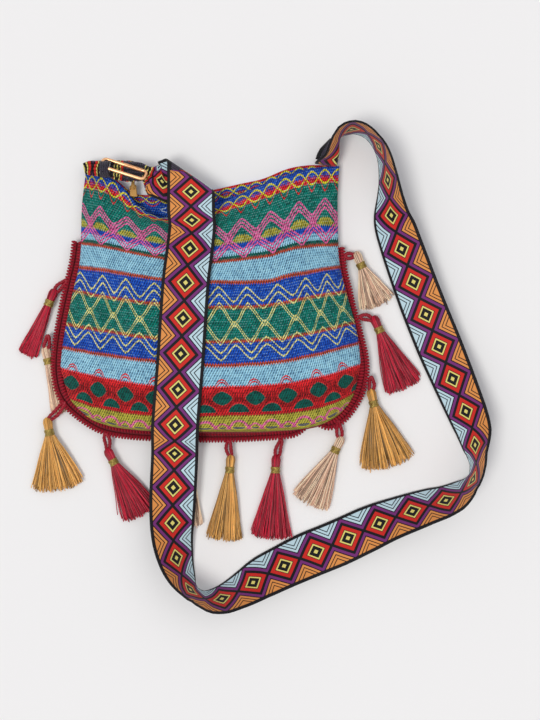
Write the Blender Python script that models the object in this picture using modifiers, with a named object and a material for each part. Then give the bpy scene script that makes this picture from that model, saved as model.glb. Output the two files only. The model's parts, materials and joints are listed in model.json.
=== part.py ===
"""Flat woven shoulder bag lying on its back, with tassels, a braided edge and a patterned webbing strap.

Metres, +Z up. X runs across the bag and Y from its bottom to its mouth. The origin is on the floor,
under the middle of the back panel.
"""

import math

import bmesh
import bpy
from mathutils import Matrix, Vector

MM = 0.001

# Bag body
HIP_HALF = 124.0 * MM  # half width at the widest place
WAIST_HALF = 105.5 * MM  # half width above the hips, up to the mouth
HIP_Y = -46.0 * MM
WAIST_Y = 52.0 * MM
BOTTOM_Y = -102.0 * MM
MOUTH_Y = 119.0 * MM
LEFT_DROP = 5.0 * MM  # the mouth's left corner lies this much lower than its right one
CORNER_RUN = 74.0 * MM  # how far the round bottom corner reaches in from the hip
BODY_THICK = 29.0 * MM  # the fullest place of the laid bag
MOUTH_THICK = 15.0 * MM  # at the mouth
ROW_SAG = 10.0 * MM  # the cloth's rows hang lower in the middle
FRONT_SAG = 36.0 * MM  # the front edge of the mouth droops by this much
BACK_SAG = 19.0 * MM
CLOTH = 1.6 * MM
LINING_CLOTH = 0.8 * MM
SEAM_Z = 7.0 * MM  # the side seam's height over the floor
EDGE_RISE = 20.0 * MM  # the back panel turns up over this width along the seam
GAP = 0.3 * MM

# Edge braid
BRAID_WIDTH = 8.6 * MM
BRAID_THICK = 3.0 * MM
SCALLOP = 4.2 * MM  # pitch of the small picots along its outer edge
PICOT = 1.1 * MM
BRAID_TOP = 0.775  # how far up the sides it goes, as a share of the panel's columns

# Tassels
CORD_RADIUS = 1.2 * MM
LOOP_HALF = 2.3 * MM  # half the loop's width between its strands' middles
HEAD_RADIUS = 3.7 * MM
NECK_RADIUS = 3.0 * MM
BAND_THICK = 0.9 * MM
BAND_HEIGHT = 6.0 * MM
SKIRT_HALF_THICK = 2.4 * MM

# Strap
STRAP_WIDTH = 38.0 * MM
STRAP_THICK = 1.4 * MM
TAB_WIDTH = 26.0 * MM
FOLD_RADIUS = 4.0 * MM
FOLD_SLANT = math.radians(34)  # the fold over the mouth lies across the strap at this slant

# Zip and buckle
TEETH_RADIUS = 1.1 * MM
SLIDER_LENGTH = 9.5 * MM
SLIDER_WIDTH = 6.2 * MM
SLIDER_HEIGHT = 3.6 * MM
PULL_LENGTH = 8.0 * MM
PULL_BARREL = 0.9 * MM
BUCKLE_LENGTH = 40.0 * MM
BUCKLE_DEPTH = 13.0 * MM
BUCKLE_WIRE = 1.5 * MM  # radius of its rod

for old in list(bpy.data.objects):
    bpy.data.objects.remove(old, do_unlink=True)

COLLECTION = bpy.data.collections.new("shoulder_bag")
bpy.context.scene.collection.children.link(COLLECTION)


def holder(name, at=(0, 0, 0), parent=None):
    """An empty that carries the pieces which move together, on their joint's axis."""
    empty = bpy.data.objects.new(name, None)
    empty.empty_display_size = 0.01
    empty.location = at
    empty.parent = parent
    COLLECTION.objects.link(empty)
    return empty


BAG = holder("bag")


def material(name, colour, roughness=0.85, metallic=0.0):
    m = bpy.data.materials.new(name)
    m.use_nodes = True
    shader = m.node_tree.nodes["Principled BSDF"]
    shader.inputs["Base Color"].default_value = (*colour, 1)
    shader.inputs["Roughness"].default_value = roughness
    shader.inputs["Metallic"].default_value = metallic
    return m


CLOTH_MATERIAL = material("patterned_cloth", (0.05, 0.22, 0.30))
BACK_MATERIAL = material("back_cloth", (0.05, 0.20, 0.27))
LINING_MATERIAL = material("lining_cloth", (0.55, 0.40, 0.36))
BRAID_MATERIAL = material("crimson_braid", (0.30, 0.01, 0.02))
STRAP_MATERIAL = material("patterned_webbing", (0.30, 0.05, 0.06), 0.7)
BRASS_MATERIAL = material("brass", (0.60, 0.40, 0.18), 0.35, 1.0)
ROSE_MATERIAL = material("rose_gold", (0.80, 0.46, 0.27), 0.3, 1.0)
BAND_MATERIAL = material("metallic_thread", (0.20, 0.16, 0.05), 0.5)
THREADS = {
    "crimson": material("crimson_thread", (0.42, 0.01, 0.03), 0.6),
    "beige": material("beige_thread", (0.66, 0.43, 0.33), 0.6),
    "gold": material("gold_thread", (0.55, 0.31, 0.08), 0.6),
}


def mix(a, b, t):
    return a + (b - a) * t


def ease(t):
    t = max(0.0, min(1.0, t))
    return t * t * (3 - 2 * t)


def finish(obj, mat, smooth=True):
    obj.data.materials.append(mat)
    obj.parent = BAG
    for c in obj.users_collection:
        c.objects.unlink(obj)
    COLLECTION.objects.link(obj)
    if smooth and obj.type == "MESH":
        obj.data.shade_smooth()
        obj.data.set_sharp_from_angle(angle=math.radians(50))
    return obj


def sheet(name, across, along, place, mat, thick=0.0, offset=0.0, weld=False):
    """A grid of across by along faces whose points go where place(s, t) says, with s and t from 0 to 1."""
    bm = bmesh.new()
    bmesh.ops.create_grid(bm, x_segments=across, y_segments=along, size=0.5)
    for v in bm.verts:
        v.co = place(v.co.x + 0.5, v.co.y + 0.5)
    if weld:
        bmesh.ops.remove_doubles(bm, verts=bm.verts, dist=0.00001)
    bmesh.ops.recalc_face_normals(bm, faces=bm.faces)
    mesh = bpy.data.meshes.new(name)
    bm.to_mesh(mesh)
    bm.free()
    obj = bpy.data.objects.new(name, mesh)
    COLLECTION.objects.link(obj)
    if thick:
        shell = obj.modifiers.new("Solidify", "SOLIDIFY")
        shell.thickness = thick
        shell.offset = offset
    return finish(obj, mat)


def loft(name, rings, mat, closed=False):
    """A solid through rings of points. Open ends are closed with one face each."""
    bm = bmesh.new()
    loops = [[bm.verts.new(p) for p in ring] for ring in rings]
    count = len(loops[0])
    pairs = list(zip(loops, loops[1:]))
    if closed:
        pairs.append((loops[-1], loops[0]))
    for a, b in pairs:
        for i in range(count):
            j = (i + 1) % count
            bm.faces.new((a[i], a[j], b[j], b[i]))
    if not closed:
        bm.faces.new(loops[0])
        bm.faces.new(loops[-1])
    bmesh.ops.recalc_face_normals(bm, faces=bm.faces)
    mesh = bpy.data.meshes.new(name)
    bm.to_mesh(mesh)
    bm.free()
    obj = bpy.data.objects.new(name, mesh)
    COLLECTION.objects.link(obj)
    return finish(obj, mat)


def tube(name, points, radius, mat, cyclic=False, resolution=2):
    curve = bpy.data.curves.new(name, "CURVE")
    curve.dimensions = "3D"
    curve.bevel_depth = radius
    curve.bevel_resolution = resolution
    curve.use_fill_caps = True
    line = curve.splines.new("POLY")
    line.points.add(len(points) - 1)
    for point, p in zip(line.points, points):
        point.co = (*p, 1)
    line.use_cyclic_u = cyclic
    obj = bpy.data.objects.new(name, curve)
    COLLECTION.objects.link(obj)
    obj.data.materials.append(mat)
    obj.parent = BAG
    return obj


def half_width(y, inset=0.0):
    """The outline's half width at a height of the laid bag, and inside it by inset."""
    hip, waist = HIP_HALF - inset, WAIST_HALF - inset
    if y >= HIP_Y:
        return mix(hip, waist, ease((y - HIP_Y) / (WAIST_Y - HIP_Y)))
    down = min(1.0, (HIP_Y - y) / (HIP_Y - BOTTOM_Y - inset))
    return hip - CORNER_RUN + CORNER_RUN * math.sqrt(max(0.0, 1 - down * down))


def mouth_dip(u):
    """How far the mouth's edge droops at u across it, as a share of its deepest place."""
    left = ease((u + 0.86) / 0.42)
    right = 1 - ease((u + 0.42) / 1.35) ** 0.8
    return left * right


def row_y(u, v, inset, top, sag_top):
    """The height of row v (0 bottom, 1 mouth) at u across it."""
    bottom = BOTTOM_Y + inset + 9 * MM
    low = mix(9 * MM, ROW_SAG, ease(v * 3)) * (1 - abs(u) ** mix(5, 2.2, ease(v * 3)))
    y = mix(bottom, top, v) - low * (1 - ease((v - 0.75) / 0.25))
    y -= LEFT_DROP * ease(-u) * ease((v - 0.7) / 0.3)
    return y - sag_top * mouth_dip(u) * ease((v - 0.45) / 0.55)


def fullness(u, v):
    """How full the laid bag is at a place, 0 along its seam and 1 in the middle."""
    side = math.sqrt(max(0.0, 1 - abs(u) ** 3.4))
    foot = math.sqrt(max(0.0, 1 - (1 - min(1.0, v / 0.30)) ** 2.6))
    return side * foot


def front_point(s, t, inset=0.0, drop=0.0, short=0.0, base=SEAM_Z):
    u = math.sin((s - 0.5) * math.pi)
    v = 1 - math.cos(t * math.pi / 2) ** 1.15
    y = row_y(u, v, inset, MOUTH_Y - short, FRONT_SAG)
    x = u * half_width(row_y(1, v, inset, MOUTH_Y - short, 0), inset)
    top = mix(BODY_THICK, MOUTH_THICK, ease((v - 0.55) / 0.45)) - CLOTH / 2 - drop
    full = max(fullness(u, v), 0.0)
    return Vector((x, y, mix(base, top, full)))


def back_point(s, t, inset=0.0, lift=0.0, short=0.0, base=SEAM_Z):
    u = math.sin((s - 0.5) * math.pi)
    v = 1 - math.cos(t * math.pi / 2) ** 1.15
    y = row_y(u, v, inset, MOUTH_Y - short, BACK_SAG)
    wide = half_width(row_y(1, v, inset, MOUTH_Y - short, 0), inset)
    x = u * wide
    edge = min(wide - abs(x), max(0.0, y - row_y(u, 0, inset, MOUTH_Y, 0)) + 0.0)
    turned = max(0.0, 1 - edge / EDGE_RISE) ** 1.7
    low = CLOTH / 2 + lift
    return Vector((x, y, mix(low, base, turned)))


SEAM_GAP = CLOTH / 2 + GAP / 2 + 0.2 * MM
sheet(
    "front_panel",
    24,
    18,
    lambda s, t: front_point(s, t, base=SEAM_Z + SEAM_GAP),
    CLOTH_MATERIAL,
    CLOTH,
)
sheet(
    "back_panel",
    16,
    14,
    lambda s, t: back_point(s, t, base=SEAM_Z - SEAM_GAP),
    BACK_MATERIAL,
    CLOTH,
)

LINING_INSET = 3.2 * MM
LINING_DROP = CLOTH / 2 + GAP + 0.25 * MM
LINING_SHORT = 5.0 * MM


def lining_point(s, t):
    """The lining goes once round: the front from left to right and the back from right to left."""
    if s < 0.5:
        return front_point(
            2 * s, t, LINING_INSET, LINING_DROP, LINING_SHORT, SEAM_Z
        )
    back = back_point(
        2 - 2 * s, t, LINING_INSET, LINING_DROP + 0.2 * MM, LINING_SHORT, SEAM_Z
    )
    return back


sheet(
    "lining", 28, 10, lining_point, LINING_MATERIAL, LINING_CLOTH, -1.0, weld=True
)


def seam_line():
    """The seam from the left waist round the bottom to the right waist, as closely spaced points."""
    found = []
    steps = 400
    for k in range(steps + 1):
        t = k / steps
        v = 1 - math.cos((1 - t) * BRAID_TOP * math.pi / 2) ** 1.15
        y = row_y(1, v, 0, MOUTH_Y, 0)
        found.append(Vector((-half_width(y), y, 0)))
    start = found[-1]
    for k in range(1, steps):
        u = mix(-1, 1, k / steps)
        found.append(Vector((u * abs(start.x), row_y(u, 0, 0, MOUTH_Y, 0), 0)))
    mirrored = [Vector((-p.x, p.y, 0)) for p in reversed(found[: steps + 1])]
    return found + mirrored


def spaced(points, step):
    """The same line again, with points step apart."""
    lengths = [0.0]
    for a, b in zip(points, points[1:]):
        lengths.append(lengths[-1] + (b - a).length)
    count = max(2, round(lengths[-1] / step))
    found = []
    k = 0
    for i in range(count + 1):
        at = lengths[-1] * i / count
        while k < len(points) - 2 and lengths[k + 1] < at:
            k += 1
        part = (at - lengths[k]) / max(1e-9, lengths[k + 1] - lengths[k])
        found.append(points[k].lerp(points[k + 1], min(1.0, max(0.0, part))))
    return found


def normals(points):
    """The way out of the line at each point, to the right of its travel."""
    found = []
    for i in range(len(points)):
        a = points[max(0, i - 2)]
        b = points[min(len(points) - 1, i + 2)]
        way = (b - a).normalized()
        found.append(Vector((way.y, -way.x, 0)))
    return found


SEAM = spaced(seam_line(), SCALLOP / 2)
SEAM_OUT = [-n if n.dot(p) < 0 else n for n, p in zip(normals(SEAM), SEAM)]
BRAID_IN = CLOTH / 2 + GAP + 0.15 * MM

braid_rings = []
for i, (p, out) in enumerate(zip(SEAM, SEAM_OUT)):
    wide = BRAID_WIDTH + (PICOT if i % 2 else -PICOT) / 2
    inner = p + out * BRAID_IN
    half = BRAID_THICK / 2
    z = Vector((0, 0, SEAM_Z))
    up = Vector((0, 0, half))
    braid_rings.append(
        [
            inner + z + up * 0.6,
            inner + out * wide * 0.5 + z + up,
            inner + out * wide + z + up * 0.35,
            inner + out * wide + z - up * 0.35,
            inner + out * wide * 0.5 + z - up,
            inner + z - up * 0.6,
        ]
    )
loft("edge_braid", braid_rings, BRAID_MATERIAL)


def tassel(number, thread, share, hang, fall, spread, flat=1.0):
    """One tassel: a cord loop to its head, a bundle of threads and the band round its neck.

    share is its place along the seam. In mm, hang is the head's offset from the braid's outer side, fall is
    the tip's offset from the head and spread is the skirt's half width at its ends.
    """
    name = f"tassel_{number:02d}"
    nearest = round(share * (len(SEAM) - 1))
    out = SEAM_OUT[nearest]
    edge = SEAM[nearest] + out * (BRAID_IN + BRAID_WIDTH + PICOT / 2 + GAP)
    hang = Vector((*hang, 0)) * MM
    slant = 1 - max(0.0, hang.normalized().dot(out))
    pivot = edge + out * (LOOP_HALF + CORD_RADIUS) * slant
    head = edge + hang
    tip = head + Vector((*fall, 0)) * MM
    spread = spread * MM
    carrier = holder(name, pivot + Vector((0, 0, SEAM_Z)), BAG)
    thick = HEAD_RADIUS * flat
    low = GAP
    axis = (tip - head).normalized()
    side = Vector((-axis.y, axis.x, 0))
    length = (tip - head).length
    neck = HEAD_RADIUS + BAND_HEIGHT / 2 + 2.6 * MM
    # distance along the axis from the head's middle, half width, half thickness
    profile = [
        (-HEAD_RADIUS * 0.95, 0.36 * HEAD_RADIUS, 0.36 * thick),
        (-HEAD_RADIUS * 0.6, 0.82 * HEAD_RADIUS, 0.82 * thick),
        (HEAD_RADIUS * 0.15, HEAD_RADIUS, thick),
        (neck - BAND_HEIGHT / 2 - 0.6 * MM, NECK_RADIUS * 1.06, NECK_RADIUS * flat * 1.06),
        (neck - BAND_HEIGHT / 2, NECK_RADIUS, NECK_RADIUS * flat),
        (neck + BAND_HEIGHT / 2, NECK_RADIUS, NECK_RADIUS * flat),
    ]
    start = neck + BAND_HEIGHT / 2
    rim = NECK_RADIUS * flat + BAND_THICK + GAP
    for k in (0.12, 0.32, 0.62, 1.0):
        wide = mix(NECK_RADIUS * 1.15, spread, k**0.85)
        high = mix(NECK_RADIUS * flat, SKIRT_HALF_THICK * min(1.0, flat), ease(k * 1.6))
        profile.append((mix(start, length, k), wide, high))
    rings = []
    count = 12
    for n, (along, wide, high) in enumerate(profile):
        share = max(0.0, (along - start) / (length - start))
        middle_z = low + mix(max(thick, rim), SKIRT_HALF_THICK * min(1.0, flat), ease(share * 1.4))
        ring = []
        for i in range(count):
            a = 2 * math.pi * i / count
            flute = 1 + (0.06 if i % 2 else -0.06) * share
            across = math.cos(a) * wide * flute
            # the fan's cut ends lie on an arc about the neck
            bow = -(1 - math.cos(math.asin(min(0.95, abs(across) / max(length, 1e-6))))) * length
            ring.append(
                head
                + axis * (along + bow * share)
                + side * across
                + Vector((0, 0, middle_z + math.sin(a) * high * (1.0 if i <= count / 2 else 0.98)))
            )
        rings.append(ring)
    threads = loft(f"{name}_threads", rings, THREADS[thread])

    inner = NECK_RADIUS + GAP
    outer = inner + BAND_THICK
    z = low + max(thick, rim)
    band = []
    turns = 12
    for i in range(turns):
        a = 2 * math.pi * i / turns
        way = side * math.cos(a) + Vector((0, 0, math.sin(a) * flat))
        grow = 1 / max(1e-6, math.cos(math.pi / turns))
        corners = []
        for r, at in (
            (inner * grow, -1),
            (outer, -0.75),
            (outer, 0.75),
            (inner * grow, 1),
        ):
            extra = Vector((0, 0, 0))
            if flat < 1:
                extra = Vector((0, 0, math.sin(a) * (1 - flat) * (r - NECK_RADIUS)))
            middle = head + axis * (neck + at * BAND_HEIGHT / 2 * 0.94) + Vector((0, 0, z))
            corners.append(middle + way * r + extra)
        band.append(corners)
    wrap = loft(f"{name}_band", band, BAND_MATERIAL, closed=True)

    # The loop: two strands side by side from the braid to the head, closed at both ends.
    way = (head - pivot).normalized()
    top = head - way * (HEAD_RADIUS + CORD_RADIUS + GAP)
    across = Vector((-way.y, way.x, 0))
    reach = (top - pivot).length
    line = []
    for k in range(10):
        a = 2 * math.pi * k / 10
        along = 0.5 - 0.5 * math.cos(a)
        height = mix(SEAM_Z, z, along)
        line.append(
            pivot
            + way * (CORD_RADIUS + (reach - CORD_RADIUS) * along)
            + across * LOOP_HALF * math.sin(a)
            + Vector((0, 0, height))
        )
    loop = tube(f"{name}_loop", line, CORD_RADIUS, THREADS["crimson"], cyclic=True, resolution=1)
    for piece in (threads, wrap, loop):
        piece.data.transform(Matrix.Translation(-carrier.location))
        piece.parent = carrier


TASSELS = [
    # thread, share along the seam, head from the braid, tip from the head, half width of the fan, flatness
    ("crimson", 0.0735, (-9.8, -7.7), (-22.0, -51.5), 8.0, 1.0),
    ("beige", 0.1673, (-4.2, -8.2), (11.5, -51.5), 6.0, 0.62),
    ("gold", 0.2612, (-12.5, -13.5), (9.5, -57.5), 25.0, 1.0),
    ("crimson", 0.3388, (1.3, -12.6), (27.5, -53.0), 18.0, 1.0),
    ("beige", 0.4653, (0.8, -9.3), (1.0, -58.0), 10.5, 1.0),
    ("gold", 0.5306, (1.8, -11.8), (-5.5, -68.0), 15.5, 1.0),
    ("crimson", 0.6122, (-3.1, -12.8), (-4.0, -67.0), 18.5, 1.0),
    ("beige", 0.7020, (1.9, -13.6), (-26.0, -53.5), 18.5, 1.0),
    ("gold", 0.7755, (2.0, -10.1), (14.0, -62.5), 26.0, 1.0),
    ("crimson", 0.8694, (9.5, -2.0), (25.0, -57.5), 17.5, 1.0),
    ("beige", 0.9755, (6.0, 0.2), (19.5, -38.5), 14.0, 1.0),
]
for number, row in enumerate(TASSELS, 1):
    tassel(number, *row)


# The route of the strap from the right corner: plan position in mm, height of its middle line,
# its roll from lying flat and how far it is folded lengthwise, in degrees.
ROUTE = [
    (105.5, 120.2, 8.8, 90, 172),
    (107.0, 129.0, 15.5, 89, 100),
    (107.5, 140.0, 20.0, 86, 30),
    (115.0, 147.5, 20.2, 85, 8),
    (123.5, 148.0, 20.2, 86, 4),
    (131.0, 144.5, 20.2, 87, 2),
    (137.0, 138.5, 20.2, 86, 0),
    (141.5, 131.5, 20.2, 83, 0),
    (144.5, 123.5, 20.0, 80, 0),
    (146.5, 113.5, 19.8, 76, 0),
    (148.0, 103.5, 19.4, 71, 0),
    (149.0, 93.5, 18.4, 64, 0),
    (150.0, 84.0, 17.0, 55, 0),
    (151.5, 75.0, 15.0, 45, 0),
    (155.0, 64.0, 13.0, 37, 0),
    (164.0, 38.5, 11.4, 31, 0),
    (177.0, 4.0, 9.6, 25, 0),
    (190.5, -29.0, 8.6, 22, 0),
    (202.0, -57.5, 11.6, 32, 0),
    (214.5, -89.0, 14.6, 43, 0),
    (218.8, -103.0, 16.8, 53, 0),
    (220.0, -119.0, 19.8, 74, 0),
    (220.2, -130.0, 20.2, 82, 4),
    (218.5, -138.5, 20.2, 85, 4),
    (215.2, -143.8, 20.2, 82, 0),
    (210.5, -149.0, 19.8, 73, 0),
    (204.0, -154.0, 18.6, 64, 0),
    (193.0, -159.0, 17.4, 57, 0),
    (180.0, -163.0, 16.2, 51, 0),
    (151.0, -173.5, 13.6, 40, 0),
    (131.0, -182.5, 10.4, 28, 0),
    (107.0, -194.0, 8.6, 22, 0),
    (82.5, -204.0, 8.8, 22, 0),
    (62.0, -213.0, 11.4, 32, 0),
    (45.5, -221.0, 12.8, 37, 0),
    (33.5, -228.0, 15.2, 47, 0),
    (22.5, -234.0, 17.0, 56, 0),
    (12.5, -238.5, 18.4, 63, 0),
    (3.0, -240.0, 19.6, 72, 0),
    (-5.0, -238.0, 20.2, 82, 4),
    (-11.0, -234.5, 20.2, 84, 4),
    (-16.5, -230.0, 20.0, 78, 0),
    (-21.0, -223.0, 18.7, 66, 0),
    (-25.0, -213.5, 17.2, 55, 0),
    (-28.0, -201.5, 16.4, 44, 0),
    (-30.0, -187.5, 16.2, 34, 0),
    (-30.3, -171.0, 15.4, 22, 0),
    (-29.8, -150.0, 13.8, 10, 0),
    (-28.5, -121.5, 13.5, 0, 0),
    (-26.0, -84.0, None, 0, 0),
    (-24.2, -63.0, None, 0, 0),
    (-22.5, -42.0, None, 0, 0),
    (-20.0, -3.5, None, 0, 0),
    (-18.0, 24.0, None, 0, 0),
    (-15.5, 46.5, None, 0, 0),
    (-13.5, 69.0, None, 0, 0),
]
FOLD_AT = Vector((-14.0 * MM, MOUTH_Y - 15.2 * MM, MOUTH_THICK + 12.5 * MM))  # over the mouth
FOLD_START = -24.0 * MM  # along the strap, from the fold's middle
FOLD_END = 30.0 * MM
# After the fold the strap runs left to the buckle, gathered lengthwise. These places are from the
# left corner of the mouth, in mm.
TO_BUCKLE = [
    (64.5, -15.5, 19.0, 160, 36),
    (58.5, -12.5, 18.8, 125, 105),
    (51.5, -9.5, 18.4, 97, 162),
    (39.5, -6.5, 18.4, 92, 172),
    (26.5, -4.5, 18.4, 90, 174),
]
# A short folded tab from the left corner of the mouth towards the buckle.
TAB = [
    (2.5, 2.0, 10.0, 90, -172),
    (8.5, 3.0, 11.5, 90, -174),
    (18.5, 5.0, 13.0, 90, -174),
]
COLUMNS = [-1.0, -0.45, -0.14, 0.0, 0.14, 0.45, 1.0]
MIDDLE = 3


def cross_section(middle, way, roll, bend, half=STRAP_WIDTH / 2):
    """The strap's points across it at one place, from its blue edge to its orange edge."""
    left = Vector((-way.y, way.x, 0)).normalized()
    up = way.cross(left)
    if up.z < 0:
        up = -up
    points = {MIDDLE: middle}

    def heading(c):
        turn = max(-0.5, min(0.5, c / 0.4))
        a = math.radians(roll - bend * turn)
        return left * math.cos(a) + up * math.sin(a)

    for k in range(MIDDLE + 1, len(COLUMNS)):
        c0, c1 = COLUMNS[k - 1], COLUMNS[k]
        points[k] = points[k - 1] + heading((c0 + c1) / 2) * (c1 - c0) * half
    for k in range(MIDDLE - 1, -1, -1):
        c0, c1 = COLUMNS[k], COLUMNS[k + 1]
        points[k] = points[k + 1] - heading((c0 + c1) / 2) * (c1 - c0) * half
    return [points[k] for k in range(len(COLUMNS))]


SURFACE = [front_point(i / 50, j / 60) for i in range(51) for j in range(61)]


def from_corner(stations):
    """The stations measured from the mouth's left corner, as places on the floor's plan."""
    return [
        (x - WAIST_HALF / MM, y + MOUTH_Y / MM, z, roll, bend)
        for x, y, z, roll, bend in stations
    ]


def seated(stations):
    """The stations with each height left open set so that the strap lies on the bag there."""
    found = []
    for x, y, z, roll, bend in stations:
        if z is None:
            under = [
                p.z
                for p in SURFACE
                if abs(p.x - x * MM) < STRAP_WIDTH / 2 and abs(p.y - y * MM) < 11 * MM
            ]
            z = (max(under) + CLOTH / 2 + STRAP_THICK / 2 + GAP) / MM + 0.2
        found.append((x, y, z, roll, bend))
    return found


def run(stations, step, before=None, after=None, half=STRAP_WIDTH / 2):
    """Rows of points along a part of the strap's route."""
    spots = [Vector((x, y, z)) * MM for x, y, z, _, _ in stations]
    line, values = [], []
    for i in range(len(spots) - 1):
        a = spots[i - 1] if i else (before or 2 * spots[0] - spots[1])
        b, c = spots[i], spots[i + 1]
        d = spots[i + 2] if i + 2 < len(spots) else (after or 2 * c - b)
        parts = max(1, round((c - b).length / step))
        for k in range(parts + (i == len(spots) - 2)):
            t = k / parts
            line.append(
                0.5
                * (
                    2 * b
                    + (c - a) * t
                    + (2 * a - 5 * b + 4 * c - d) * t * t
                    + (3 * b - a - 3 * c + d) * t**3
                )
            )
            values.append([mix(stations[i][n], stations[i + 1][n], t) for n in (3, 4)])
    rows = []
    for i, (p, (roll, bend)) in enumerate(zip(line, values)):
        a = line[i - 1] if i else (before or p)
        b = line[i + 1] if i + 1 < len(line) else (after or p)
        rows.append(cross_section(p, (b - a).normalized(), roll, bend, half))
    return rows


def folded_rows():
    """The strap's rows where it goes over the slanting fold and comes back under itself."""
    along_fold = Vector((-math.cos(FOLD_SLANT), math.sin(FOLD_SLANT), 0))
    over = Vector((math.sin(FOLD_SLANT), math.cos(FOLD_SLANT), 0))
    rows = []
    count = 11
    for k in range(count + 1):
        s = mix(FOLD_START, FOLD_END, k / count)
        row = []
        for c in COLUMNS:
            left = c * STRAP_WIDTH / 2
            flat = Vector((-left, s, 0))
            along = flat.dot(along_fold)
            beyond = flat.dot(over)
            turn = beyond / FOLD_RADIUS
            if turn <= 0:
                reach, height = beyond, 0.0
            elif turn < math.pi:
                reach = FOLD_RADIUS * math.sin(turn)
                height = -FOLD_RADIUS * (1 - math.cos(turn))
            else:
                reach = -(beyond - math.pi * FOLD_RADIUS)
                height = -2 * FOLD_RADIUS
            row.append(FOLD_AT + along_fold * along + over * reach + Vector((0, 0, height)))
        rows.append(row)
    return rows


fold = folded_rows()
strap_rows = run(seated(ROUTE), 17 * MM, after=fold[0][MIDDLE])
strap_rows += fold
strap_rows += run(from_corner(TO_BUCKLE), 10 * MM, before=fold[-1][MIDDLE])


def ribbon(name, rows, mat):
    """A strip of webbing through rows of points."""
    bm = bmesh.new()
    grid = [[bm.verts.new(p) for p in row] for row in rows]
    for lower, upper in zip(grid, grid[1:]):
        for a, b, c, d in zip(lower, lower[1:], upper[1:], upper):
            bm.faces.new((a, b, c, d))
    bmesh.ops.recalc_face_normals(bm, faces=bm.faces)
    mesh = bpy.data.meshes.new(name)
    bm.to_mesh(mesh)
    bm.free()
    obj = bpy.data.objects.new(name, mesh)
    COLLECTION.objects.link(obj)
    shell = obj.modifiers.new("Solidify", "SOLIDIFY")
    shell.thickness = STRAP_THICK
    shell.offset = 0.0
    return finish(obj, mat)


ribbon("strap_webbing", strap_rows, STRAP_MATERIAL)

ribbon("strap_tab", run(from_corner(TAB), 6 * MM, half=TAB_WIDTH / 2), STRAP_MATERIAL)

TEETH_OFF = TEETH_RADIUS + GAP


def teeth_line(edge, drop):
    """The teeth lie along the lining's mouth edge, just past it and drop below the edge's height."""
    points = [
        edge(mix(0.25, 0.85, k / 16), 1.0, LINING_INSET, 0, LINING_SHORT) for k in range(17)
    ]
    found = []
    for i, p in enumerate(points):
        way = points[min(16, i + 1)] - points[max(0, i - 1)]
        out = Vector((-way.y, way.x, 0)).normalized()
        found.append(p + out * (TEETH_OFF + 2.2 * MM) - Vector((0, 0, drop)))
    return found


zip_front = teeth_line(front_point, CLOTH / 2 + TEETH_OFF)
zip_back = teeth_line(back_point, -(CLOTH / 2 + TEETH_OFF))
tube("zip_teeth_front", zip_front, TEETH_RADIUS, BRASS_MATERIAL)
tube("zip_teeth_back", zip_back, TEETH_RADIUS, BRASS_MATERIAL)


def box(name, size, at, mat, turn=0.0, bevel=0.0):
    bpy.ops.mesh.primitive_cube_add(size=1, location=at, rotation=(0, 0, turn))
    obj = bpy.context.object
    obj.name = name
    obj.data.name = name
    for v in obj.data.vertices:
        v.co = Vector((v.co.x * size[0], v.co.y * size[1], v.co.z * size[2]))
    if bevel:
        edge = obj.modifiers.new("Bevel", "BEVEL")
        edge.width = bevel
        edge.segments = 2
    return finish(obj, mat, smooth=False)


def joined(obj, others):
    """The object with others fused to it."""
    for other in others:
        union = obj.modifiers.new("Union", "BOOLEAN")
        union.operation = "UNION"
        union.solver = "EXACT"
        union.object = other
        other.hide_render = True
        other.display_type = "WIRE"
        COLLECTION.objects.unlink(other)
        CUTTERS.objects.link(other)
    return obj


CUTTERS = bpy.data.collections.new("helpers")
bpy.context.scene.collection.children.link(CUTTERS)

SLIDER_AT = Vector((-WAIST_HALF + 42.0 * MM, MOUTH_Y - 20.0 * MM, 0))
slider_z = zip_back[0].z + TEETH_RADIUS + GAP + SLIDER_HEIGHT / 2
slider_top = slider_z + SLIDER_HEIGHT / 2
slider = box(
    "zip_slider",
    (SLIDER_WIDTH, SLIDER_LENGTH, SLIDER_HEIGHT),
    (SLIDER_AT.x, SLIDER_AT.y, slider_z),
    BRASS_MATERIAL,
)
hinge_y = SLIDER_AT.y + SLIDER_LENGTH * 0.22
pull_width = SLIDER_WIDTH - 2 * (0.9 * MM + GAP)
lugs = []
for number, way in enumerate((-1, 1)):
    lugs.append(
        box(
            f"slider_lug_{number}",
            (0.9 * MM, 2.6 * MM, 2 * PULL_BARREL + GAP + 0.5 * MM),
            (
                SLIDER_AT.x + way * (SLIDER_WIDTH / 2 - 0.45 * MM),
                hinge_y,
                slider_top + PULL_BARREL + GAP / 2 - 0.25 * MM,
            ),
            BRASS_MATERIAL,
        )
    )
joined(slider, lugs)

bpy.ops.mesh.primitive_cylinder_add(
    vertices=16,
    radius=PULL_BARREL,
    depth=pull_width,
    location=(SLIDER_AT.x, hinge_y, slider_top + GAP + PULL_BARREL),
    rotation=(0, math.pi / 2, 0),
)
barrel = bpy.context.object
barrel.name = "zip_pull"
finish(barrel, BRASS_MATERIAL)
plate = box(
    "pull_plate",
    (pull_width * 0.94, PULL_LENGTH, PULL_BARREL),
    (SLIDER_AT.x, hinge_y + PULL_LENGTH / 2, slider_top + GAP + PULL_BARREL),
    BRASS_MATERIAL,
)
for v in plate.data.vertices:
    if v.co.y > 0:
        v.co.x *= 0.62
joined(barrel, [plate])

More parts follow.
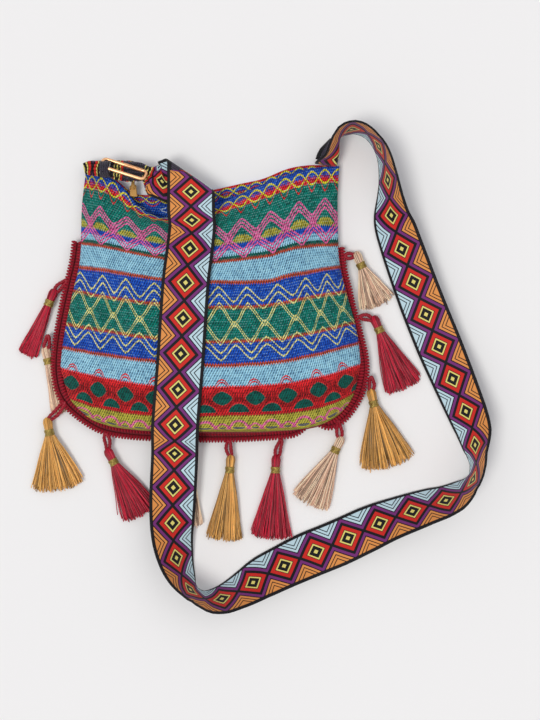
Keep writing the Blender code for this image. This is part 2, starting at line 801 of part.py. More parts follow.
# The buckle: a rod bent to a rectangle that leans on the gathered webbing.
BUCKLE_AT = Vector((-WAIST_HALF + 36.5 * MM, MOUTH_Y - 5.0 * MM, MOUTH_THICK + 10.8 * MM))
BUCKLE_TURN = Matrix.Rotation(math.radians(-16.5), 4, "Z") @ Matrix.Rotation(
    math.radians(-30), 4, "X"
)
corner = 3.2 * MM
buckle_line = []
for cx, cy, start in ((1, 1, 0), (-1, 1, 90), (-1, -1, 180), (1, -1, 270)):
    for k in range(4):
        a = math.radians(start + 30 * k)
        buckle_line.append(
            BUCKLE_AT
            + BUCKLE_TURN
            @ Vector(
                (
                    cx * (BUCKLE_LENGTH / 2 - BUCKLE_WIRE - corner) + corner * math.cos(a),
                    cy * (BUCKLE_DEPTH / 2 - BUCKLE_WIRE - corner) + corner * math.sin(a),
                    0,
                )
            )
        )
tube("buckle_frame", buckle_line, BUCKLE_WIRE, ROSE_MATERIAL, cyclic=True)
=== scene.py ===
import json
import math
import random
from functools import partialmethod

import bmesh
import bpy
import numpy as np
from mathutils import Matrix, Vector


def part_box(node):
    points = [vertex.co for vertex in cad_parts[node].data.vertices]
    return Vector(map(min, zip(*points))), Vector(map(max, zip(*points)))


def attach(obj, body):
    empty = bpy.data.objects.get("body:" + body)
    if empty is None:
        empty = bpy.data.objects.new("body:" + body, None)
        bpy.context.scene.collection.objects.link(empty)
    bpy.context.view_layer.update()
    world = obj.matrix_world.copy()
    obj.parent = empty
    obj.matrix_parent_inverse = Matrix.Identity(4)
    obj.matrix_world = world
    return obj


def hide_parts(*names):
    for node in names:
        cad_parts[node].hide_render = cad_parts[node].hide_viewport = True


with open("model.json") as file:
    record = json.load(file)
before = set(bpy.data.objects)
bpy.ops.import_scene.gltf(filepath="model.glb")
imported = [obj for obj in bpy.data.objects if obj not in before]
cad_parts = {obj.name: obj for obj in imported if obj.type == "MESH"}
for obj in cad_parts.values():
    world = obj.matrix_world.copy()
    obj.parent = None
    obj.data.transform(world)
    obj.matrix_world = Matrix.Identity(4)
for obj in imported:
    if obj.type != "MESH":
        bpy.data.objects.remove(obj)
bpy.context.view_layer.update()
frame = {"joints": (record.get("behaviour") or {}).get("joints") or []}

bl_info = {
    "name": "Woven Shoulder Bag",
    "version": (1, 0, 0),
    "blender": (4, 5, 0),
    "location": "View3D > Sidebar > Shoulder Bag",
    "description": "Dresses a flat cloth shoulder bag with jacquard, braid, thread tassels and webbing",
    "category": "Object",
}

MM = 0.001
PX = 0.839 * MM  # one pixel of the picture on the floor
PICTURE_MIDDLE = (270, 360)
CAMERA_AT = Vector((0.05034, -0.04195, 0.95))


def srgb(r, g, b):
    """A colour given in 0 to 255 as the picture shows it, made linear."""
    found = []
    for c in (r, g, b):
        c /= 255
        found.append(c / 12.92 if c <= 0.04045 else ((c + 0.055) / 1.055) ** 2.4)
    return tuple(found)


def mix(a, b, t):
    return a + (b - a) * t


def ease(t):
    t = np.clip(t, 0.0, 1.0)
    return t * t * (3 - 2 * t)


def colour_prop(name, description, r, g, b):
    return bpy.props.FloatVectorProperty(
        name=name, description=description, default=srgb(r, g, b), subtype="COLOR", min=0, max=1, size=3
    )


def length_prop(name, description, value):
    return bpy.props.FloatProperty(
        name=name, description=description, default=value, unit="LENGTH", min=0.0
    )


class BagSizes(bpy.types.PropertyGroup):
    """Sizes of the bag's pieces."""

    cloth: length_prop("Cloth thickness", "Thickness of the bag's cloth", 1.4 * MM)
    fold_depth: bpy.props.FloatProperty(
        name="Fold depth", description="How deep the soft folds are, 1 as in the picture", default=1.0
    )
    stitches: bpy.props.FloatProperty(
        name="Stitches", description="Stitches across one repeat of the pattern", default=12.0
    )
    stitch_row: length_prop("Stitch row", "Height of one row of stitches", 2.2 * MM)
    webbing_width: length_prop("Webbing width", "Width of the strap", 39.0 * MM)
    webbing_thick: length_prop("Webbing thickness", "Thickness of the strap", 1.4 * MM)
    webbing_repeat: length_prop("Webbing repeat", "Length of one diamond of the strap", 29.0 * MM)
    rib_pitch: length_prop("Braid rib pitch", "Distance between the ribs of the edge braid", 2.5 * MM)
    braid_width: length_prop("Braid width", "Width of the edge braid", 7.6 * MM)
    thread: length_prop("Tassel thread", "Radius of a tassel's thread", 0.36 * MM)
    threads: bpy.props.IntProperty(
        name="Threads", description="Threads in one tassel", default=230, min=20, max=600
    )
    cord: length_prop("Loop cord", "Radius of one strand of a tassel's cord loop", 0.88 * MM)
    tooth_pitch: length_prop("Zip tooth pitch", "Distance between the zip's teeth", 1.9 * MM)
    buckle_rod: length_prop("Buckle rod", "Radius of the buckle's rod", 1.45 * MM)


class BagColours(bpy.types.PropertyGroup):
    """Colours of the cloth, the webbing, the threads and the metal."""

    blue: colour_prop("Blue", "Deep blue bands", 20, 76, 182)
    light_blue: colour_prop("Light blue", "Pale blue bands", 150, 208, 232)
    green: colour_prop("Green", "Blue-green bands", 0, 116, 100)
    rust: colour_prop("Rust", "Thin rust lines", 186, 72, 48)
    red: colour_prop("Red", "Red lattice", 232, 36, 40)
    pink: colour_prop("Pink", "Pink zigzags", 240, 100, 158)
    olive: colour_prop("Olive", "Olive patches and bottom band", 178, 168, 58)
    pale: colour_prop("Pale yellow", "Pale yellow lines", 236, 228, 132)
    yellow: colour_prop("Yellow", "Bright yellow waves", 236, 222, 40)
    lining: colour_prop("Lining", "Lining of the bag", 205, 172, 160)
    braid: colour_prop("Braid", "Edge braid and cord loops", 146, 12, 34)
    orange: colour_prop("Orange", "Chevrons on the strap's outer edge", 228, 150, 78)
    purple: colour_prop("Purple", "Outlines on the strap", 120, 46, 118)
    strap_red: colour_prop("Strap red", "Diamonds on the strap", 208, 40, 32)
    strap_yellow: colour_prop("Strap yellow", "Middle of the diamonds", 230, 218, 120)
    strap_blue: colour_prop("Strap blue", "Chevrons on the strap's inner edge", 194, 222, 230)
    black: colour_prop("Black", "Lines and edges of the strap", 12, 10, 16)
    crimson: colour_prop("Crimson thread", "Crimson tassels", 172, 8, 44)
    gold: colour_prop("Gold thread", "Gold tassels", 204, 152, 78)
    beige: colour_prop("Beige thread", "Beige tassels", 224, 184, 156)
    band: colour_prop("Metallic thread", "Band round a tassel's neck", 140, 122, 58)
    rose: colour_prop("Rose gold", "Buckle", 240, 186, 140)
    brass: colour_prop("Brass", "Zip", 168, 128, 76)
    floor: colour_prop("Floor", "Studio floor", 240, 240, 238)


def sizes():
    return bpy.context.scene.bag_sizes


def tint(name):
    return (*getattr(bpy.context.scene.bag_colours, name), 1.0)


def add_node(tree, kind, inputs=(), **settings):
    """A node with its settings and its inputs, each of them a value, a socket or a wire."""
    node = tree.nodes.new(kind)
    for name, value in settings.items():
        setattr(node, name, value)
    for key, value in dict(inputs).items():
        if isinstance(value, Wire):
            value = value.socket
        if isinstance(value, bpy.types.NodeSocket):
            tree.links.new(value, node.inputs[key])
        else:
            node.inputs[key].default_value = value
    return node


# Writing a pattern as sums: a wire is one number of a material's node tree.


class Wire:
    def __init__(self, tree, socket):
        self.tree = tree
        self.socket = socket

    def sum(self, kind, *others, clamp=False):
        values = enumerate((self, *others))
        node = add_node(self.tree, "ShaderNodeMath", values, operation=kind, use_clamp=clamp)
        return Wire(self.tree, node.outputs[0])

    __add__ = partialmethod(sum, "ADD")
    __sub__ = partialmethod(sum, "SUBTRACT")
    __mul__ = partialmethod(sum, "MULTIPLY")
    __truediv__ = partialmethod(sum, "DIVIDE")
    __neg__ = partialmethod(sum, "MULTIPLY", -1.0)
    fract = partialmethod(sum, "FRACT")
    floor = partialmethod(sum, "FLOOR")
    size = partialmethod(sum, "ABSOLUTE")
    cos = partialmethod(sum, "COSINE")
    power = partialmethod(sum, "POWER")
    most = partialmethod(sum, "MAXIMUM")

    def off_middle(self):
        """How far the wire is from the middle of its whole step, from 0 to 0.5."""
        return (self.fract() - 0.5).size()

    def under(self, limit, soft=0.12):
        """1 where the wire is under the limit, 0 where it is over, with a soft edge."""
        return ((self - limit) * (-1.0 / (2 * soft))).sum("ADD", 0.5, clamp=True)

    def over(self, limit, soft=0.12):
        """1 where the wire is over the limit."""
        return ((self - limit) * (1.0 / (2 * soft))).sum("ADD", 0.5, clamp=True)

    def within(self, low, high, soft=0.12):
        return self.over(low, soft) * self.under(high, soft)

    def line(self, at, width):
        """1 along a line of this width where the wire equals at."""
        return (self - at).size().under(width / 2)


def any_of(wires):
    """The greatest of several wires."""
    found = wires[0]
    for wire in wires[1:]:
        found = found.most(wire)
    return found


class Paint:
    """A material's tree with its shader, and the coordinates that a pattern needs."""

    def __init__(self, name, roughness=0.8, metallic=0.0):
        self.material = bpy.data.materials.new(name)
        self.material.use_nodes = True
        self.tree = self.material.node_tree
        self.shader = self.tree.nodes["Principled BSDF"]
        self.shader.inputs["Roughness"].default_value = roughness
        self.shader.inputs["Metallic"].default_value = metallic

    def node(self, kind, inputs=(), **settings):
        return add_node(self.tree, kind, inputs, **settings)

    def uv(self):
        source = self.node("ShaderNodeUVMap", uv_map="weave")
        split = self.node("ShaderNodeSeparateXYZ", {0: source.outputs[0]})
        return Wire(self.tree, split.outputs[0]), Wire(self.tree, split.outputs[1])

    def noise(self, scale, detail=2.0):
        """Noise from 0 to 1 on the object's own coordinates."""
        spot = self.node("ShaderNodeTexCoord").outputs["Object"]
        made = self.node("ShaderNodeTexNoise", {"Vector": spot, "Scale": scale, "Detail": detail})
        return Wire(self.tree, made.outputs["Fac"])

    def random(self, x, y):
        """An even draw from 0 to 1 for each pair of whole numbers."""
        pair = self.node("ShaderNodeCombineXYZ", {0: x, 1: y})
        made = self.node("ShaderNodeTexWhiteNoise", {"Vector": pair.outputs[0]}, noise_dimensions="2D")
        return Wire(self.tree, made.outputs["Value"])

    def over(self, under, share, colour, blend="MIX"):
        """The colour laid over another, by this share."""
        inputs = {0: share, 6: under, 7: colour}
        return self.node("ShaderNodeMix", inputs, data_type="RGBA", blend_type=blend).outputs[2]

    def bands(self, place, stops):
        """A colour for each stretch of the wire, which runs from 0 to 1."""
        ramp = self.node("ShaderNodeValToRGB", {0: place})
        ramp.color_ramp.interpolation = "CONSTANT"
        points = ramp.color_ramp.elements
        for at, _ in stops[1:-1]:
            points.new(at)
        for point, (at, colour) in zip(points, stops):
            point.position = at
            point.color = colour
        return ramp.outputs[0]

    def bump(self, height, strength=0.6, distance=0.001):
        inputs = {"Strength": strength, "Distance": distance, "Height": height}
        self.tree.links.new(self.node("ShaderNodeBump", inputs).outputs[0], self.shader.inputs["Normal"])

    def colour(self, socket):
        self.tree.links.new(socket, self.shader.inputs["Base Color"])

    def cloth(self, sheen=0.06):
        self.shader.inputs["Sheen Weight"].default_value = sheen
        self.shader.inputs["Sheen Roughness"].default_value = 0.5
        self.shader.inputs["Specular IOR Level"].default_value = 0.18


def shade(colour, k):
    return tuple(min(1.0, c * k) for c in colour[:3]) + (1.0,)


# Painted shade that darkens the stitch holes
HOLE_SHADE_TINT = (0.14, 0.20, 0.28, 1.0)
HIGH_TINT, LOW_TINT = (0.9, 0.96, 1.0, 1.0), (0.4, 0.45, 0.55, 1.0)
# Painted highlight: pale dashes on the tops of stitches where the ground is dark
STITCH_HIGHLIGHT_TINT = (0.45, 0.72, 0.78, 1.0)
SHADE_TINT = (0.45, 0.45, 0.5, 1.0)


def knit(paint, k, d, colour, dark_ground):
    """Stitches over a colour: slanting holes darkened unevenly by painted shade, pale dashes of painted
    highlight on dark grounds, and relief.
    """
    down = d / (sizes().stitch_row / MM)
    row = down.floor()
    across = k * sizes().stitches + row * 0.5
    chance = paint.random(across.floor(), row)
    other = paint.random(across.floor() + 31.0, row)
    hx, hy = across.fract() - 0.5, down.fract() - 0.5
    hole = (((hx + hy * 0.5) * 3.6).power(2.0) + (hy * 2.1).power(2.0)).under(0.7, 0.4)
    colour = paint.over(colour, (other - 0.4).most(0.0) * 0.9, HIGH_TINT, "SOFT_LIGHT")
    colour = paint.over(colour, (-other + 0.5).most(0.0) * 1.1, LOW_TINT, "MULTIPLY")
    # painted shade: each stitch hole is darkened by a random amount
    colour = paint.over(colour, hole * (chance * 0.7 + 0.35), HOLE_SHADE_TINT, "MULTIPLY")
    # painted highlight: a pale dash on the top of some stitches on dark grounds
    dash = (hy - 0.34).size().under(0.1, 0.05) * hx.size().under(0.3, 0.08) * chance.under(0.55, 0.1)
    colour = paint.over(colour, dash * dark_ground * 0.5, STITCH_HIGHLIGHT_TINT)
    patch = paint.noise(60.0, 3.0)
    colour = paint.over(colour, (patch - 0.5).size() * 0.8, SHADE_TINT, "MULTIPLY")
    fine = paint.noise(1500.0, 2.0)
    paint.bump(fine * 0.25 - hole, 0.85, 0.0011)
    return colour


# The cloth's bands: where each starts in mm from the mouth, its colour and how bright it is
CLOTH_BANDS = (
    (0, "blue", 1.0), (11.6, "green", 1.0), (46, "blue", 1.0), (51.5, "light_blue", 1.0), (57, "green", 0.6),
    (60, "rust", 1.0), (62.6, "light_blue", 1.0), (80.6, "rust", 1.0), (83.4, "blue", 1.0),
    (99.8, "rust", 1.0), (102.6, "green", 1.0), (129.6, "rust", 1.0), (132.4, "blue", 1.0),
    (148.6, "rust", 1.0),
    (151, "light_blue", 1.0), (168.5, "red", 1.0), (191.4, "red", 0.4), (192.4, "red", 1.0),
    (193.6, "rust", 0.5), (194.8, "olive", 1.0), (203.4, "pink", 0.85), (210, "olive", 0.9),
    (219, "braid", 1.0),
)
CLOTH_REACH = 240.0  # mm that a ramp of bands covers
DARK_GROUNDS = ((11.6, 46), (83.4, 99.8), (102.6, 129.6), (132.4, 148.6))  # where the stitches get pale dashes of painted highlight
MOUTH_WAVE = (8.2, 5.4)  # middle and swing of the mouth's double wave, in mm
PINK_SPACING = 3.3  # between the lines of the pink lattice, in mm
LATTICE_MIDDLE = 116.3  # of the double-lined lattice, in mm from the mouth
HALF_REPEAT = 25.2  # of the red lattice's ovals and domes, in mm
OVAL_AT, DOME_AT, EYE_AT = 179.4, 191.8, 206.2


def jacquard(name):
    """The bag's patterned cloth. Its map counts repeats across, and mm from the mouth."""
    paint = Paint(name, 0.85)
    k, d = paint.uv()
    wobble = paint.noise(90.0, 1.0) - 0.5
    d = d + wobble * 1.6
    tooth = (k * sizes().stitches).off_middle()
    ragged = d + (tooth - 0.25) * 3.4
    turn = k * (2 * math.pi)
    wave = turn.cos()
    t = (k + 0.5).off_middle() * 2  # 0 in a repeat's middle and 1 at its ends
    rounded = (t + (wave * -0.5 + 0.5)) * 0.5

    red, olive, green = tint("red"), tint("olive"), tint("green")
    stops = [(at / CLOTH_REACH, shade(tint(name), k)) for at, name, k in CLOTH_BANDS]
    colour = paint.bands(ragged / CLOTH_REACH, stops)
    dark = ragged.within(*DARK_GROUNDS[0])
    for span in DARK_GROUNDS[1:]:
        dark = dark + ragged.within(*span)
    dark = dark + ragged.under(14.5)

    # olive patch in each pink diamond
    inner = d - 27 - t * 11 - 10
    patch = ragged.within(40.5, 46.5) * inner.over(0)
    colour = paint.over(colour, patch, olive)

    # the mouth's double wave, with red in its lower half, and the red loops that hang from its crossings
    wave_at, swing_of = MOUTH_WAVE
    swing = wave * swing_of
    lens = ((d - wave_at).size() - swing.size()).under(-0.3)
    blot = paint.noise(700.0, 1.0)
    colour = paint.over(colour, lens * (d + (blot - 0.5) * 9).over(8.0), red)
    colour = paint.over(colour, lens * (d + (blot - 0.5) * 12).within(6.6, 8.4), shade(tint("purple"), 1.3))
    hang = (turn * 2).cos()
    loops = (d - hang * 5.0).line(14.4, 1.9)
    knots = hang.under(-0.72, 0.08) * d.within(8.6, 13.4, 0.5)
    colour = paint.over(colour, loops.most(knots), red)
    waves = (d - swing).line(wave_at, 1.7).most((d + swing).line(wave_at, 1.7))
    colour = paint.over(colour, waves, tint("yellow"))

    # pink lattice of four lines each way
    upper = (d - 26.5 - rounded * 11.5) / PINK_SPACING
    lower = (-(d - 60) - t * 11) / PINK_SPACING
    lines = any_of([
        (four + 0.5).off_middle().under(0.29, 0.06) * four.within(-0.4, 2.4, 0.05) for four in (upper, lower)
    ])
    block = t.over(0.72, 0.04) * upper.within(0.4, 2.8, 0.1)
    lines = lines.most(block * 0.55) * d.within(24, 63)
    step = (k * sizes().stitches * 2).off_middle() * 0.5
    colour = paint.over(colour, d.within(24, 63) * block * 0.5, shade(green, 0.4))
    colour = paint.over(colour, lines - step * 0.2, tint("pink"))

    # pale zigzags on blue and the double-lined lattice on green, the same up and down
    folded = -(d - LATTICE_MIDDLE).size() + LATTICE_MIDDLE
    rows = [(folded - rounded * fall).line(start, 1.5) for start, fall in ((86.2, 11.5), (91.6, 12.2))]
    for start, fall in ((98.3, 17.2), (101.2, 17.4)):
        for way in (d, -d + 2 * LATTICE_MIDDLE):
            rows.append((way - rounded * fall).line(start, 1.4))
    pale = any_of(rows)
    stitch = (k * 14 + d * 0.35).off_middle()
    colour = paint.over(colour, pale * (-stitch * 0.4 + 1.1), tint("pale"))

    # red lattice with its humps, green ovals and green domes
    near = (k + 0.5).off_middle() * HALF_REPEAT
    far = k.off_middle() * HALF_REPEAT
    hump = (near / 5.6).power(2.0) * 6.0 + 163.0
    for at in (0.0, 2.2):
        colour = paint.over(colour, (d - hump).line(at, 1.2) * d.under(170), red)
    oval = ((near / 7.7).power(1.45) + ((d - OVAL_AT) / 6.4).size().power(1.45)).power(0.69)
    dome = ((far / 8.2).power(1.8) + ((d - DOME_AT) / 7.8).size().power(1.8)).power(0.556)
    for way, limit in ((oval, 192.5), (dome, DOME_AT)):
        for at in (1.22, 1.48):
            ring = way.line(at, 0.11) * d.within(170.0, limit)
            colour = paint.over(colour, ring * 0.75, shade(red, 0.12))
    marks = far.under(3.6) * d.within(173.5, 183.0) * (far * 0.55).off_middle().under(0.2)
    colour = paint.over(colour, marks * 0.8, shade(red, 0.14))
    colour = paint.over(colour, oval.under(1.0, 0.06), shade(green, 0.5))
    colour = paint.over(colour, dome.under(0.97, 0.06) * d.under(DOME_AT), shade(green, 0.5))

    # arches with eyes above the bottom seam, a large and a small one in turn
    for place, wide, tall in ((far, 5.2, 5.4), (near, 3.0, 3.6)):
        arch = ((place / wide).power(2.0) + ((d - EYE_AT) / tall).power(2.0)).power(0.5)
        colour = paint.over(colour, arch.line(1.25, 0.36) * d.under(206.6), tint("pink"))
        colour = paint.over(colour, arch.under(1.0, 0.08), olive)
        eye = arch.under(0.95, 0.1) * d.within(206.0, 210.6) * (d * 0.62).off_middle().over(0.16)
        colour = paint.over(colour, eye, shade(tint("blue"), 0.4))
        colour = paint.over(colour, arch.line(1.05, 0.22) * d.over(204.6), tint("yellow"))

    colour = knit(paint, k, d, colour, dark)
    paint.colour(colour)
    paint.cloth()
    return paint.material


def inner_jacquard(name):
    """The wrong side near the mouth: waves along the edge, then blue with white marks."""
    paint = Paint(name, 0.85)
    k, d = paint.uv()
    turn = k * (2 * math.pi)
    wave = turn.cos()
    t = (k + 0.5).off_middle() * 2
    colour = paint.bands(
        d / CLOTH_REACH,
        [
            (0, tint("red")),
            (1.2 / CLOTH_REACH, tint("blue")),
            (34.0 / CLOTH_REACH, shade(tint("green"), 0.6)),
            (1.0, tint("green")),
        ],
    )
    swing = wave * 3.4
    lens = ((d - 4.6).size() - swing.size()).under(-0.4)
    blot = paint.noise(700.0, 1.0)
    colour = paint.over(colour, lens * (d + (blot - 0.5) * 8).over(5.6), shade(tint("red"), 0.6))
    colour = paint.over(colour, (d - swing).line(7.4, 1.2), shade(tint("red"), 0.7))
    waves = (d - swing).line(4.6, 1.2).most((d + swing).line(4.6, 1.2))
    colour = paint.over(colour, waves, tint("yellow"))
    marks = (d - t * 4).line(12.4, 0.8).most((d + t * 4).line(16.0, 0.8)) * t.over(0.55, 0.05)
    colour = paint.over(colour, marks * 0.85, (0.75, 0.85, 0.9, 1.0))
    colour = knit(paint, k, d, colour, d.under(60.0))
    paint.colour(colour)
    paint.cloth()
    return paint.material


def lining_cloth():
    paint = Paint("lining_cloth", 0.8)
    k, d = paint.uv()
    grain = (k * 300).off_middle() + (d * 1.6).off_middle()
    patch = paint.noise(45.0, 3.0)
    colour = paint.over(tint("lining"), grain * 0.35, shade(tint("lining"), 0.7))
    colour = paint.over(colour, (patch - 0.4).most(0.0) * 0.6, shade(tint("lining"), 0.6))
    paint.colour(colour)
    paint.bump(grain, 0.3, 0.0003)
    paint.cloth()
    return paint.material


# The strap's nested diamonds: where each ring starts, in mm from the middle, and its colour
DIAMOND_RINGS = (
    (0.0, "strap_yellow"), (1.9, "black"), (5.4, "strap_yellow"), (7.0, "black"), (7.7, "strap_red"),
    (11.3, "black"), (14.3, "purple"), (17.3, "black"),
)
RING_REACH = 20.0  # mm that their ramp covers
DIAMOND_HALF = 13.05  # how much a ring's distance grows along half a repeat
DIAMOND_END, CHEVRON_START, CHEVRON_STEP, CHEVRON_END = 18.4, 18.5, 3.35, 26.4
SELVEDGE_FROM = 16.5


def webbing(name, front=True):
    """The strap's cloth. The map is in mm: along the strap, and across it from its blue edge at -19."""
    paint = Paint(name, 0.62)
    a, b = paint.uv()
    black = tint("black")
    rows = (a * 1.1).off_middle()
    cords = (b * 0.95).off_middle()
    weave = rows * 0.8 + cords * 0.5
    if not front:
        colour = black
        for along, step, across, limit, soft, share, fleck_tint in (
            (1.1, 0.37, 0.95, 0.36, 0.05, 0.55, (0.30, 0.32, 0.40, 1.0)),
            (0.55, 0.61, 0.48, 0.44, 0.03, 0.6, tint("purple")),
        ):
            fleck = ((a * along).floor() * step + b * across).off_middle()
            speck = fleck.over(limit, soft) * rows.under(0.3, 0.08) * b.size().under(15.6)
            colour = paint.over(colour, speck * share, fleck_tint)
    else:
        repeat = sizes().webbing_repeat / MM
        away = (a / repeat + 0.5).off_middle() * repeat
        s = b.size() + away * (DIAMOND_HALF / (repeat / 2))
        field = paint.over(tint("strap_blue"), b.over(0.0, 0.05), tint("orange"))
        nested = ((s - CHEVRON_START) / CHEVRON_STEP).fract().over(0.70, 0.05) * s.under(CHEVRON_END)
        colour = paint.over(field, nested, black)
        rings = [(at / RING_REACH, tint(name)) for at, name in DIAMOND_RINGS]
        colour = paint.over(colour, s.under(DIAMOND_END, 0.1), paint.bands(s / RING_REACH, rings))
        colour = paint.over(colour, b.size().over(SELVEDGE_FROM, 0.15), black)
    colour = paint.over(colour, weave * 0.32, SHADE_TINT, "MULTIPLY")
    paint.colour(colour)
    paint.bump(weave * -1.0, 0.35, 0.0004)
    paint.cloth(0.1)
    return paint.material


def thread_paint(name, colour, gloss, rough=0.42, band=False, depth=1.0):
    paint = Paint(name, rough, 0.55 if band else 0.0)
    patch = paint.noise(420.0, 3.0)
    wide = paint.noise(70.0, 2.0)
    # depth darkens the colour below 1 and brightens it above 1, as painted light
    own = shade(tint(colour), depth)
    # painted shade in small dark patches, painted highlights in wide bright patches
    base = paint.over(own, (patch - 0.4).most(0.0) * 1.0, shade(own, 0.55))
    base = paint.over(base, (wide - 0.45).most(0.0) * 1.3, shade(own, 1.3))
    if band:
        # painted glints: bright specks on the metallic thread
        glint = paint.noise(2200.0, 1.0)
        base = paint.over(base, glint.over(0.6, 0.06), shade(tint(colour), 2.2))
        base = paint.over(base, glint.under(0.38, 0.05) * 0.7, shade(tint("crimson"), 0.5))
    paint.colour(base)
    paint.bump(patch, 0.25, 0.0003)
    paint.shader.inputs["Specular IOR Level"].default_value = gloss
    return paint.material


def braid_paint(name="edge_braid_thread", depth=1.0):
    paint = Paint(name, 0.55)
    patch = paint.noise(900.0, 2.0)
    wide = paint.noise(60.0, 2.0)
    # depth below 1 darkens the colour, as painted shade for the core and the tape
    own = shade(tint("braid"), depth)
    base = paint.over(own, (patch - 0.4).most(0.0) * 1.6, shade(own, 0.4))
    base = paint.over(base, (wide - 0.45).most(0.0) * 1.4, shade(own, 1.3))
    paint.colour(base)
    paint.bump(patch, 0.4, 0.0003)
    paint.cloth(0.05)
    return paint.material


def metal_paint(name, colour, rough):
    paint = Paint(name, rough, 1.0)
    wear = paint.noise(260.0, 4.0)
    fine = paint.noise(1800.0, 2.0)
    base = paint.over(tint(colour), (wear - 0.45).most(0.0) * 1.3, shade(tint(colour), 0.72))
    paint.colour(base)
    paint.bump(fine, 0.05, 0.0002)
    return paint.material


# Making meshes


def new_piece(name, mesh, material, body, node=(), smooth=True):
    """Links a finished mesh, gives it its material and says what it rides on and stands for."""
    obj = bpy.data.objects.new(name, mesh)
    bpy.context.scene.collection.objects.link(obj)
    if material and not mesh.materials:
        mesh.materials.append(material)
    if smooth:
        mesh.shade_smooth()
    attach(obj, body)
    if node:
        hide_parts(*node)
    return obj


def grid_mesh(name, points, uv):
    """A mesh over an array of rows of points, with the map that goes with them."""
    rows, columns = points.shape[:2]
    faces = []
    for i in range(rows - 1):
        for j in range(columns - 1):
            a = i * columns + j
            faces.append((a, a + 1, a + columns + 1, a + columns))
    mesh = bpy.data.meshes.new(name)
    mesh.from_pydata(points.reshape(-1, 3).tolist(), [], faces)
    layer = mesh.uv_layers.new(name="weave")
    flat = uv.reshape(-1, 2)
    corners = np.empty(len(mesh.loops), np.int32)
    mesh.loops.foreach_get("vertex_index", corners)
    layer.data.foreach_set("uv", flat[corners].astype(np.float32).ravel())
    return mesh


def turned_up(mesh, down=False):
    """Turns the mesh's faces so that most look up, or down."""
    mesh.update()
    total = sum(p.normal.z * p.area for p in mesh.polygons)
    if (total < 0) != down:
        mesh.flip_normals()
    return mesh


def thickened(obj, thick, offset, inner=None):
    """Gives an open surface its thickness as real geometry."""
    shell = obj.modifiers.new("Thickness", "SOLIDIFY")
    shell.thickness = thick
    shell.offset = offset
    if inner:
        obj.data.materials.append(inner)
        shell.material_offset = 1
    apply_all(obj)


def apply_all(obj):
    """Turns an object's modifiers into plain mesh."""
    graph = bpy.context.evaluated_depsgraph_get()
    graph.update()
    made = bpy.data.meshes.new_from_object(obj.evaluated_get(graph))
    obj.modifiers.clear()
    obj.data = made
    made.name = obj.name


def curve_lines(name, lines, cyclic=False):
    """A curve object through lists of points, one spline for each."""
    curve = bpy.data.curves.new(name, "CURVE")
    curve.dimensions = "3D"
    for line in lines:
        spline = curve.splines.new("POLY")
        spline.points.add(len(line) - 1)
        fourth = np.c_[np.asarray(line), np.ones(len(line))]
        spline.points.foreach_set("co", fourth.astype(np.float32).ravel())
        spline.use_cyclic_u = cyclic
    return bpy.data.objects.new(name, curve)


def from_nodes(name, base, tree, values):
    """The plain mesh that a Geometry Nodes tree makes on the base object."""
    bpy.context.scene.collection.objects.link(base)
    modifier = base.modifiers.new("Nodes", "NODES")
    modifier.node_group = tree
    for item in tree.interface.items_tree:
        if item.item_type == "SOCKET" and item.in_out == "INPUT" and item.name in values:
            modifier[item.identifier] = values[item.name]
    graph = bpy.context.evaluated_depsgraph_get()
    graph.update()
    mesh = bpy.data.meshes.new_from_object(base.evaluated_get(graph))
    mesh.name = name
    old = base.data
    bpy.data.objects.remove(base)
    if isinstance(old, bpy.types.Curve):
        bpy.data.curves.remove(old)
    return mesh


def tree_with(name, inputs):
    tree = bpy.data.node_groups.new(name, "GeometryNodeTree")
    tree.interface.new_socket("Geometry", in_out="INPUT", socket_type="NodeSocketGeometry")
    tree.interface.new_socket("Geometry", in_out="OUTPUT", socket_type="NodeSocketGeometry")
    for label, kind, value in inputs:
        made = tree.interface.new_socket(label, in_out="INPUT", socket_type=kind)
        if value is not None:
            made.default_value = value
    ins, outs = tree.nodes.new("NodeGroupInput"), tree.nodes.new("NodeGroupOutput")
    return tree, ins, outs


def finish_tree(tree, ins, outs, geometry):
    """Every tree ends by making its copies real and giving them their material."""
    real = add_node(tree, "GeometryNodeRealizeInstances", {0: geometry})
    inputs = {"Geometry": real.outputs[0], "Material": ins.outputs["Material"]}
    paint = add_node(tree, "GeometryNodeSetMaterial", inputs)
    tree.links.new(paint.outputs[0], outs.inputs[0])


def swept_tree():
    """A round thread of even thickness along each curve."""
    tree, ins, outs = tree_with(
        "Swept Thread",
        [
            ("Radius", "NodeSocketFloat", 0.0004),
            ("Sides", "NodeSocketInt", 5),
            ("Material", "NodeSocketMaterial", None),
        ],
    )
    inputs = {"Radius": ins.outputs["Radius"], "Resolution": ins.outputs["Sides"]}
    circle = add_node(tree, "GeometryNodeCurvePrimitiveCircle", inputs)
    inputs = {"Curve": ins.outputs["Geometry"], "Profile Curve": circle.outputs[0], "Fill Caps": True}
    sweep = add_node(tree, "GeometryNodeCurveToMesh", inputs)
    finish_tree(tree, ins, outs, sweep.outputs[0])
    return tree


